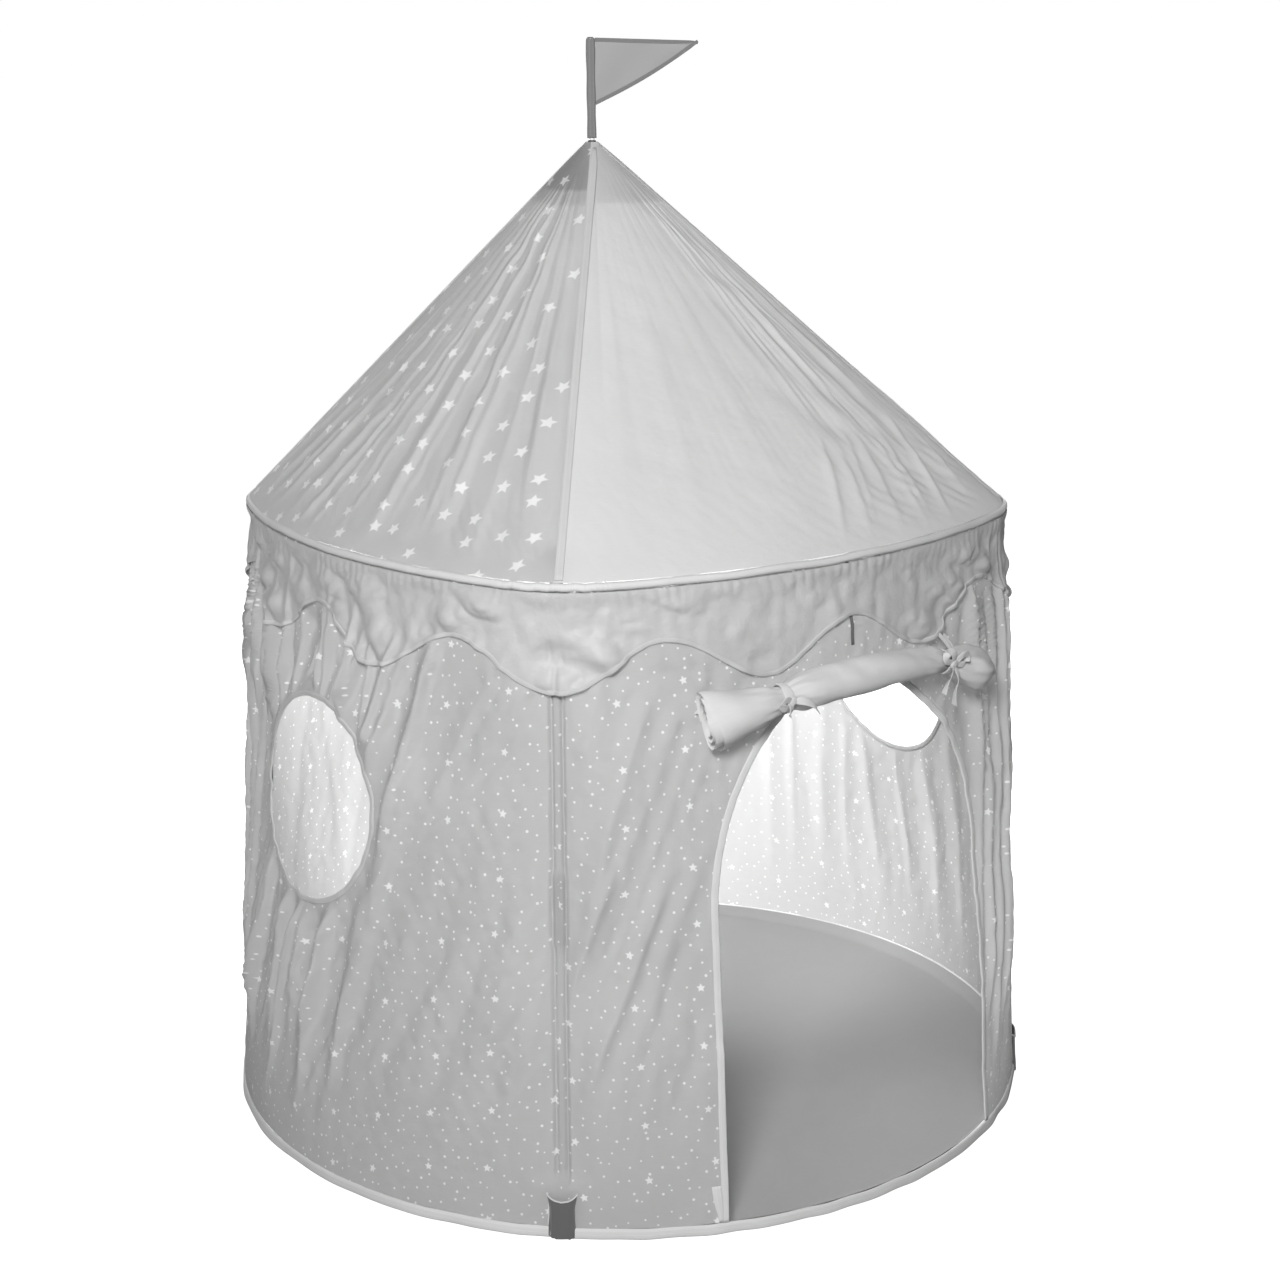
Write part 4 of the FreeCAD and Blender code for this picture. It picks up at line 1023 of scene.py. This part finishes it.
def make_roof_seam(pole):
    """Folded seam along a pole, on the plain panel's side."""
    heading = POLES[pole]
    side = "front" if pole.startswith("front") else "back"
    edge = heading - SIDES[side]
    edge = math.atan2(math.sin(edge), math.cos(edge))
    part = np.linspace(0.004, 0.985, 90)
    mid, pole_radius = roof_radii(part)
    end = distance_along(np.full(90, QUADRANT), mid, pole_radius)
    local = heading_along(np.copysign(np.maximum(end - 0.0052, 0.0), edge), mid, pole_radius)
    path = roof_points(side, local, part, 0.0008)
    away = roof_points(side, local, part, 0.02) - path
    taper = smooth(part, 1.0, 0.93)
    piece = sweep("roof_seam_tape_" + pole, path, away, tape_section(*SEAM_TAPE_SIZE), False,
                  widths(0.35 + 0.65 * taper))
    return dress(piece, SEAM_TAPE)


def make_piping():
    heading = np.linspace(-math.pi, math.pi, 900, endpoint=False)
    x, y = outline(heading, EAVE_MID, EAVE_POLE)
    wobble = waves(np.cos(heading) * 0.46, np.sin(heading) * 0.46, 111, 0.06)
    path = np.stack([x, y, EAVE_HEIGHT + 0.0006 * wobble], -1)
    pucker = 1 + 0.05 * waves(np.cos(heading) * 0.46, np.sin(heading) * 0.46, 112, 0.012)
    turn = np.arange(16) * math.pi / 8
    section = np.stack([np.cos(turn), np.sin(turn)], -1) * (PIPING_RADIUS - 0.0002)
    piece = sweep("eave_piping_sleeve", path, facing(heading), section, True, widths(pucker, pucker))
    return dress(piece, BINDING_TAPE, replaces="eave_piping")


LINING_INSET = 0.0100


def make_lining():
    """Cap of cloth inside the peak, seen as a darker patch through the roof."""
    heading = np.linspace(-math.pi, math.pi, 160, endpoint=False)[None]
    foot = (low("apex_lining").z - ROOF_FOOT) / (APEX.z - ROOF_FOOT)
    top = (high("apex_lining").z - ROOF_FOOT) / (APEX.z - ROOF_FOOT)
    dip = 0.003 * np.sin(3 * heading + 1)
    part = np.linspace(0, 1, 24)[:, None]
    part = foot + dip + part * (top - foot - dip)
    heading = heading + 0 * part
    mid, pole = roof_radii(part)
    x, y = outline(heading, mid - LINING_INSET, pole - LINING_INSET)
    points = np.stack([x + APEX.x * part, y + APEX.y * part, ROOF_FOOT + (APEX.z - ROOF_FOOT) * part], -1)
    uv = np.stack([heading * 0.05, part * 0.6], -1)
    closing = uv[:, :1] + np.array([2 * math.pi * 0.05, 0])
    return dress(grid("apex_lining_cap", points, np.concatenate([uv, closing], 1), closed=True),
                 LINING_CLOTH, replaces="apex_lining")


roofs = {side: make_roof(side) for side in SIDES}
roof_seams = [make_roof_seam(pole) for pole in POLES]
make_piping()
lining = make_lining()


# ---------------------------------------------------------------- foot pockets

# How far a pocket stands out past the hem and goes in behind it, and how much its upper edge sags.
POCKET_STAND, POCKET_DEPTH, POCKET_SAG = 0.0014, 0.0250, 0.011
POCKET_HALF_WIDTH = 0.0178
# How far its sole lies above the ground, how far its lower corners lift, and how deep its pleats are.
POCKET_SOLE, CORNER_LIFT, POCKET_PLEAT = 0.0008, 0.0055, 0.0010


def make_pocket(pole):
    """Dark pocket round the foot of a leg, set into the wall: its front shows outside, over the hem.

    Its upper edge sags, and light piping runs round it.
    """
    node = "foot_pocket_" + pole
    heading = POLES[pole]
    out = np.array([math.cos(heading), math.sin(heading), 0])
    side = np.array([-math.sin(heading), math.cos(heading), 0])
    turn = full_turn(64)
    front, rear = HEM_RADIUS + POCKET_STAND, HEM_RADIUS - POCKET_DEPTH
    rows = []
    for part in np.linspace(0, 1, 20):
        flare = 1 - 0.10 * smooth(part, 0.0, 0.55) + 0.16 * smooth(part, 0.65, 1.0)
        wide = np.copysign(np.abs(np.cos(turn)) ** 0.40, np.cos(turn)) * POCKET_HALF_WIDTH * flare
        deep = np.copysign(np.abs(np.sin(turn)) ** 0.55, np.sin(turn)) * (front - rear) / 2
        top = high(node).z - POCKET_SAG * (1 - (wide / 0.0200) ** 2)
        sole = POCKET_SOLE + CORNER_LIFT * (wide / POCKET_HALF_WIDTH) ** 4 * (deep > 0)
        height = sole + part * (top - sole)
        lean = height * (BASE_RADIUS - EAVE_POLE) / (WALL_TOP - WALL_FOOT)
        pleat = POCKET_PLEAT * np.sin(wide * 1500) * (deep > 0) * (1 - part)
        rows.append(np.outer((front + rear) / 2 + deep - lean + pleat, out) + np.outer(wide, side)
                    + np.outer(height, [0, 0, 1]))
    points = np.array(rows)
    along = np.arange(65) * 0.0017
    uv = np.stack(np.broadcast_arrays(along[None], points[:, :1, 2]), -1)
    pocket = dress(grid("foot_pocket_cloth_" + pole, points, uv, closed=True), POCKET_CLOTH,
                   replaces=node)
    face = [index for index in range(64) if 0.30 < turn[index] < math.pi - 0.30]
    rim = points[-1][face]
    path = np.concatenate([points[1:-1, face[0]], rim, points[1:-1, face[-1]][::-1]]) + out * 0.0006
    edge = sweep("foot_pocket_edge_" + pole, path, out, tape_section(*POCKET_TAPE_SIZE, 8))
    return pocket, dress(edge, BINDING_TAPE)


pockets = {pole: make_pocket(pole) for pole in POLES}


# ---------------------------------------------------------------- door: roll, ties, curtain and hanger

# The spiral: its inner radius, the step from layer to layer, how many turns, and where the outer end lies.
ROLL_CORE, LAYER_PITCH, ROLL_TURNS, ROLL_START = 0.0050, 0.0025, 7.2, 1.9
# Beyond the right tie the roll bulges.
ROLL_BULB = 0.168


def roll_frame(lateral):
    """Middle line of the rolled door, with its outward and upward directions."""
    lateral = np.asarray(lateral, float)
    height = ROLL_HEIGHT - ROLL_DROOP * (lateral / ROLL_HALF_WIDTH) ** 2 - 0.009 * smooth(lateral, 0.10, 0.19)
    local = heading_at(lateral, ROLL_HEIGHT)
    heading = local + SIDES["front"]
    x, y = outline(heading, *wall_radii(ROLL_HEIGHT))
    out = facing(heading)
    centre = np.stack([x, y, height], -1) + out * ROLL_OFFSET
    up = unit(np.cross(unit(np.gradient(centre, axis=0)), out))
    return centre, out, up * np.where(up[..., 2:] < 0, -1, 1)


def roll_girth(lateral):
    """Share of the roll's full size: drawn in by the ties, open at the left end, full at the right."""
    left = 0.36 * np.exp(-((lateral + TIE_PLACE) / 0.017) ** 2)
    right = 0.28 * np.exp(-((lateral - TIE_PLACE) / 0.015) ** 2)
    flare = 0.24 * smooth(lateral, -TIE_PLACE - 0.010, -0.20)
    bulb = 0.42 * np.exp(-((lateral - ROLL_BULB) / 0.026) ** 2)
    closing = 0.30 * smooth(lateral, 0.185, ROLL_HALF_WIDTH)
    taper = 0.20 * smooth(lateral, -0.02, 0.10)
    return 1.0 - left - right + flare + bulb - closing - taper


def make_roll():
    """The door rolled up: one sheet wound into a spiral, its turns showing at the ends."""
    lateral = np.concatenate([np.linspace(ROLL_LEFT_END, -0.09, 56)[:-1], np.linspace(-0.09, 0.09, 60)[:-1],
                              np.linspace(0.09, ROLL_HALF_WIDTH, 58)])
    centre, out, up = roll_frame(lateral)
    turn = np.linspace(0, 2 * math.pi * ROLL_TURNS, int(ROLL_TURNS * 48))[None]
    s = lateral[:, None]
    layer = turn / (2 * math.pi * ROLL_TURNS)
    tied = np.exp(-((np.abs(s) - TIE_PLACE) / 0.030) ** 2)
    radius = (ROLL_CORE + LAYER_PITCH * turn / (2 * math.pi)) * roll_girth(s)
    puckers = 0.075 * tied * np.sin(9 * turn + 14 * s / 0.1), 0.04 * tied * np.sin(16 * turn + 2)
    radius = radius * (1 + puckers[0] + puckers[1])
    loose = smooth(s, -0.135, -ROLL_HALF_WIDTH)
    radius = radius * (1 + 0.16 * loose * layer ** 2 * (1 + np.sin(3 * turn + 1)))
    full = np.exp(-((s - ROLL_BULB) / 0.030) ** 2)
    folds = 0.06 * full * np.sin(5 * turn + 60 * s), 0.035 * full * np.sin(11 * turn - 90 * s)
    radius = radius * (1 + folds[0] + folds[1])
    skin = smooth(layer, 0.80, 1.0)
    wound = turn * ROLL_RADIUS
    radius = radius + skin * 0.0034 * (0.4 + creases(s, wound, 301, 0.050, 1.2, 0.30, 0.1))
    radius = radius + skin * 0.0010 * waves(s, wound, 302, 0.030, 0.9, 0.4)
    wide = 1 - 0.22 * loose + 0.10 * full
    tall = 1 + 0.14 * loose
    angle = turn + ROLL_START
    shift = s + 0.006 * loose * np.sin(turn * 0.5) - 0.004 * full * np.cos(turn)
    points = (centre[:, None] + (radius * wide * np.cos(angle))[..., None] * out[:, None]
              + (radius * tall * np.sin(angle))[..., None] * up[:, None])
    points[..., 0] += shift - s
    uv = np.stack([s + 0 * turn, wound * 0.6 + 0 * s], -1)
    return dress(grid("door_cloth_roll", points, uv), DOOR_CLOTH, "door", "door_roll")


def make_tie(node, place, loops, tails):
    """Tape tied round the roll, with a knot in front and its loops and tails.

    Loops and tails are lines of places across, out and up from the knot, in thousandths.
    """
    name = node + "_tape"
    centre, out, up = (line[1] for line in roll_frame([place - 0.002, place, place + 0.002]))
    aside = np.cross(up, out)
    aside = aside * (1 if aside[0] > 0 else -1)
    girth = ROLL_RADIUS * float(roll_girth(place)) * 1.06 + TIE_THICKNESS
    turn = full_turn(64)
    away = np.cos(turn)[:, None] * out + np.sin(turn)[:, None] * up
    band = sweep(name + "_band", centre + away * girth, away, tape_section(*TIE_BAND_SIZE), True,
                 widths(1 + 0.18 * np.sin(3 * turn)))
    knot_at = centre + out * (girth + 0.0026) + up * 0.001
    lift = np.linspace(-0.0065, 0.0065, 14)
    bulge = np.sqrt(np.clip(1 - (lift / 0.0072) ** 2, 0.02, 1))
    knot = sweep(name + "_knot", knot_at + lift[:, None] * (0.8 * aside + 0.6 * up), out,
                 tape_section(*TIE_KNOT_SIZE), False, widths(bulge, bulge))
    parts = [band, knot]
    for line in loops + tails:
        line = np.array([(0, 0, 0)] + line) / 1000
        path = smooth_path(knot_at + line[:, :1] * aside + line[:, 1:2] * out + line[:, 2:] * up, 14)
        taper = np.linspace(0, 1, len(path))
        if len(parts) < 2 + len(loops):
            width = TIE_LOOP_WIDTH
            ups = np.cross(np.gradient(path, axis=0), aside * 0.35 + out * 0.3 + up)
            fullness = np.sin(math.pi * taper) ** 0.5
        else:
            width = TIE_TAIL_WIDTH if line[-1][2] < 0 else TIE_UPPER_TAIL_WIDTH
            swing = np.linspace(0, 1.4, len(path))[:, None]
            ups = np.cos(swing) * out + np.sin(swing) * aside
            fullness = smooth(taper, 0.0, 0.25)
        parts.append(sweep("%s_part_%d" % (name, len(parts)), path, ups, tape_section(width, TIE_THICKNESS),
                           False, widths(0.45 + 0.55 * fullness)))
    return dress(join(name, parts), DOOR_CLOTH, "door", node)


def join(name, parts):
    """One mesh from several."""
    vertices, faces, corners = [], [], []
    for part in parts:
        start = len(vertices)
        vertices += [tuple(vertex.co) for vertex in part.data.vertices]
        faces += [tuple(start + index for index in polygon.vertices) for polygon in part.data.polygons]
        corners += [tuple(item.uv) for item in part.data.uv_layers[0].data]
        bpy.data.objects.remove(part)
    return make_mesh(name, vertices, faces, corners)


# Between the curtain's top and foot heights it passes from the wall to the roll. Its rim is held to the wall.
CURTAIN_TOP, CURTAIN_FOOT, CURTAIN_RIM = 0.629, 0.615, 0.645
CURTAIN_OVERLAP = 0.009
CURTAIN_HALF_WIDTH = 0.2145
CURTAIN_INSET = 0.0055
DOOR_TRAVEL = 0.555 * math.cos(math.radians(6.29))


def make_curtain():
    """Cloth between the arch and the roll. It waits behind the roll, each row as wide as the doorway at the
    place it would reach once the roll came down.
    """
    share = np.linspace(0, 1, 400)
    weights = np.concatenate([np.zeros(6), np.linspace(0, 1, 80)])
    drawn = np.interp(weights, share * share * (3 - 2 * share), share)
    height = CURTAIN_TOP + (CURTAIN_FOOT - CURTAIN_TOP) * drawn
    height[:6] = np.linspace(CURTAIN_RIM, CURTAIN_TOP, 7)[:6]
    final = height - weights * DOOR_TRAVEL
    above = np.clip((final - DOOR_SPRING) / (DOOR_TOP + CURTAIN_OVERLAP - DOOR_SPRING), 0, 1)
    half = np.where(final > DOOR_SPRING,
                    DOOR_SPRING_HALF_WIDTH * np.sqrt(np.clip(1 - above ** 2, 0, 1)) + CURTAIN_OVERLAP,
                    DOOR_SPRING_HALF_WIDTH + CURTAIN_OVERLAP + (DOOR_SPRING - final) * 0.020)
    half = np.minimum(half, CURTAIN_HALF_WIDTH)[:, None]
    lateral = np.linspace(-1, 1, 90)[None] * half
    level, weight = final[:, None] + 0 * lateral, weights[:, None]
    _, y = outline(heading_at(lateral, ROLL_HEIGHT) + SIDES["front"], *wall_radii(ROLL_HEIGHT))
    ripple = 0.0016 * waves(lateral, level, 311, 0.06, 0.1, 0.2) * smooth(half - np.abs(lateral), 0, 0.02)
    points = np.stack([lateral, y - CURTAIN_INSET - ripple * weight, height[:, None] + 0 * lateral], -1)
    piece = grid("door_cloth_curtain", points, np.stack([lateral, level], -1))
    piece.data.materials.append(DOOR_CLOTH)
    return piece


def make_hanger():
    """Tape that comes out from under the valance and goes down over the roll."""
    height = np.linspace(low("door_hanger").z, high("door_hanger").z, 20)
    path = wall_points("front", np.zeros(20), height, 0.0006)
    scallop_top = SCALLOP_MEAN + SCALLOP_DEPTH
    below = smooth(height, scallop_top - 0.003, scallop_top - 0.016)
    path[:, 1] = path[:, 1] + below * (np.minimum(path[:, 1], low("door_hanger").y + 0.0030) - path[:, 1])
    piece = sweep("door_hanger_tape", path, facing(np.full(20, SIDES["front"])),
                  tape_section(*HANGER_TAPE_SIZE))
    return dress(piece, HANGER_TAPE, replaces="door_hanger")


roll = make_roll()
tie_left = make_tie(
    "door_tie_left", -TIE_PLACE,
    [[(-10, 6, 6), (-15, 5, 0), (-9, 2, -5), (0, 0, 0)]],
    [[(12, 4, -2), (24, 3, -10), (31, 0, -22)],
     [(-4, 3, -8), (-6, 2, -16)]])
tie_right = make_tie(
    "door_tie_right", TIE_PLACE,
    [[(-10, 5, 12), (-19, 3, 13), (-18, 2, 3), (0, 0, 0)],
     [(10, 5, 12), (20, 3, 10), (17, 2, 1), (0, 0, 0)]],
    [[(-7, 6, -12), (-13, 5, -24), (-14, 3, -36)],
     [(6, 6, -16), (5, 5, -32), (10, 3, -48)],
     [(1, -5, 11), (8, -20, 20), (17, -40, 29)],
     [(5, -5, 11), (15, -20, 20), (26, -40, 29)]])
curtain = make_curtain()
make_hanger()


# ---------------------------------------------------------------- flag

FLAG_HEADING = math.radians(-36.6)
FLAG_LENGTH = 0.133
FLAG_TIP_DROP = 0.005
UP = np.array([0, 0, 1.0])


def make_flag():
    """Sleeve, pennant and the binding along the pennant's two long edges."""
    along = np.array([math.cos(FLAG_HEADING), math.sin(FLAG_HEADING), 0.0])
    across = np.array([-along[1], along[0], 0.0])
    stick = np.array([APEX.x, APEX.y, 0.0])
    top, heel = high("flag_sleeve").z, low("flag_binding").z
    height = np.linspace(low("flag_sleeve").z, top - 0.0012, 60)
    turn = np.arange(20) * math.pi / 10
    section = np.stack([np.copysign(np.abs(np.cos(turn)) ** 0.8, np.cos(turn)) * 0.0055,
                        np.sin(turn) * 0.0040 + 0.0006 * np.sin(3 * turn)], -1)
    shrink = 1 - 0.5 * smooth(height, top - 0.004, top)
    sway = 0.0004 * np.sin(height * 90)[:, None] * across
    sleeve = sweep("flag_sleeve_cloth", stick + height[:, None] * UP + sway, across, section, False,
                   widths(shrink * (1 + 0.05 * np.sin(height * 130)), shrink))
    dress(sleeve, FLAG_TAPE, "flag", "flag_sleeve")

    def place(far, level, lift=0.0):
        """Point of the pennant: far from 0 at the stick to 1 at the tip, level from 0 below to 1 above."""
        lower = heel + 0.003 + (top - FLAG_TIP_DROP - heel - 0.006) * far - 0.0045 * np.sin(math.pi * far)
        upper = top - 0.0030 - FLAG_TIP_DROP * far
        wave = 0.0030 * far * np.sin(5.2 * far + 1.6 * level)
        wave = wave + 0.0012 * np.sin(9 * far - 4 * level) * (1 - far)
        out = 0.0050 + (FLAG_LENGTH - 0.0062) * far
        return (stick + out[..., None] * along + (wave + lift)[..., None] * across
                + (lower + (upper - lower) * level)[..., None] * UP)

    far, level = np.meshgrid(np.linspace(0, 0.985, 60), np.linspace(0, 1, 34))
    uv = np.stack([far * FLAG_LENGTH, level * (top - heel) * (1 - far)], -1)
    pennant = dress(grid("flag_pennant_cloth", place(far, level), uv), FLAG_CLOTH, "flag",
                    "flag_pennant")
    run = np.linspace(0, 0.992, 70)
    parts = []
    for index, edge in enumerate((0.0, 1.0)):
        path = place(run, np.full(70, edge), np.full(70, 0.0002 * (1 - 2 * index)))
        path = path + (0.0012 if edge == 0 else -0.0014) * UP
        parts.append(sweep("flag_edge_%d" % index, path, across, tape_section(*FLAG_TAPE_SIZE), False,
                           widths(1 - 0.25 * smooth(run, 0.9, 1.0))))
    return pennant, dress(join("flag_edge_tape", parts), FLAG_TAPE, "flag", "flag_binding")


pennant, flag_edge = make_flag()


# ---------------------------------------------------------------- poles, hoop and fittings, as in the CAD

CAD_MATERIALS = (
    (("eave_hoop",), SPRING_STEEL),
    (("leg_joiners", "roof_pole_joiners"), JOINER_PLASTIC),
    (("eave_elbow", "apex_hub", "foot_caps"), CONNECTOR_PLASTIC),
    (("leg_", "roof_pole_", "flag_stick"), TUBE_PLASTIC),
)
for name, node in NODES.items():
    material = next((material for starts, material in CAD_MATERIALS if name.startswith(starts)), None)
    for slot in node.material_slots if material else ():
        slot.material = material


# ---------------------------------------------------------------- the door's own meshes, and the curtain's transform baked in

for piece in (roll, tie_left, tie_right):
    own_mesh(piece)
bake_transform(curtain)


# ---------------------------------------------------------------- camera, light and stage

CAMERA_AZIMUTH = math.radians(-36.61)
CAMERA_DISTANCE = 2.9385
CAMERA_HEIGHT = 1.361
CAMERA_PITCH = math.radians(14.95)
CAMERA_ROLL = math.radians(0.70)
CAMERA_ASIDE = 0.02224
FOCAL_LENGTH = 65.75
SENSOR = 36.0
AMBIENT = 0.06
BACK_POWER = 150.0
INNER_POWER = 5.5
INNER_SPREAD = 110
KEY_POWER = 146.0
FLOOR_GLOW = 0.99
FLOOR_RADIUS = 60


def make_camera():
    back = Vector((math.sin(CAMERA_AZIMUTH), -math.cos(CAMERA_AZIMUTH), 0))
    right = Vector((math.cos(CAMERA_AZIMUTH), math.sin(CAMERA_AZIMUTH), 0))
    up = Vector((0, 0, 1))
    level_up = -back * math.sin(CAMERA_PITCH) + up * math.cos(CAMERA_PITCH)
    backward = back * math.cos(CAMERA_PITCH) + up * math.sin(CAMERA_PITCH)
    x_axis = right * math.cos(CAMERA_ROLL) - level_up * math.sin(CAMERA_ROLL)
    y_axis = right * math.sin(CAMERA_ROLL) + level_up * math.cos(CAMERA_ROLL)
    data = bpy.data.cameras.new("camera")
    data.lens = FOCAL_LENGTH
    data.sensor_width = SENSOR
    camera = bpy.data.objects.new("camera", data)
    place = back * CAMERA_DISTANCE + right * CAMERA_ASIDE + up * CAMERA_HEIGHT
    camera.matrix_world = Matrix([list(row) for row in zip(x_axis, y_axis, backward, place)] + [[0, 0, 0, 1]])
    bpy.context.scene.collection.objects.link(camera)
    bpy.context.scene.camera = camera
    return back, right


def area_light(name, place, towards, size, power, spread=180):
    data = bpy.data.lights.new(name, "AREA")
    data.spread = math.radians(spread)
    data.shape = "DISK"
    data.size = size
    data.energy = power
    light = bpy.data.objects.new(name, data)
    light.location = place
    light.rotation_euler = (towards - place).to_track_quat("-Z", "Y").to_euler()
    bpy.context.scene.collection.objects.link(light)


def make_studio(back, right):
    scene = bpy.context.scene
    scene.view_settings.view_transform = "Standard"
    world = bpy.data.worlds.new("studio")
    world.use_nodes = True
    tree = world.node_tree
    background = tree.nodes["Background"]
    background.inputs["Color"].default_value = (1, 1, 1, 1)
    path = tree.nodes.new("ShaderNodeLightPath")
    strength = tree.nodes.new("ShaderNodeMapRange")
    tree.links.new(path.outputs["Is Camera Ray"], strength.inputs["Value"])
    strength.inputs["To Min"].default_value = AMBIENT
    strength.inputs["To Max"].default_value = 1.0
    tree.links.new(strength.outputs["Result"], background.inputs["Strength"])
    scene.world = world
    middle = Vector((0, 0, 0.6))
    area_light("back_light", -back * 2.6 + right * 0.1 + Vector((0, 0, 1.7)), middle, 1.6, BACK_POWER)
    area_light("inner_light", Vector((-0.10, -0.16, 0.74)), Vector((0.18, 0.43, 0.40)), 0.24, INNER_POWER,
               INNER_SPREAD)
    area_light("key_light", back * 3.2 - right * 0.3 + Vector((0, 0, 2.3)), middle, 0.8, KEY_POWER)
    ground = make_mesh("studio_floor", FLOOR_RADIUS * facing(full_turn(96)), [list(range(96))])
    nodes = Nodes("studio_floor")
    tone = nodes.spread(nodes.noise(nodes.place, 0.7), 0.36, 0.38)
    glow = nodes.times(nodes.add("ShaderNodeLightPath", {}, "Is Camera Ray"), FLOOR_GLOW)
    ground.data.materials.append(hard(nodes, tone, 0.9, **{"Emission Color": (1, 1, 1, 1),
                                                           "Emission Strength": glow}))


make_studio(*make_camera())
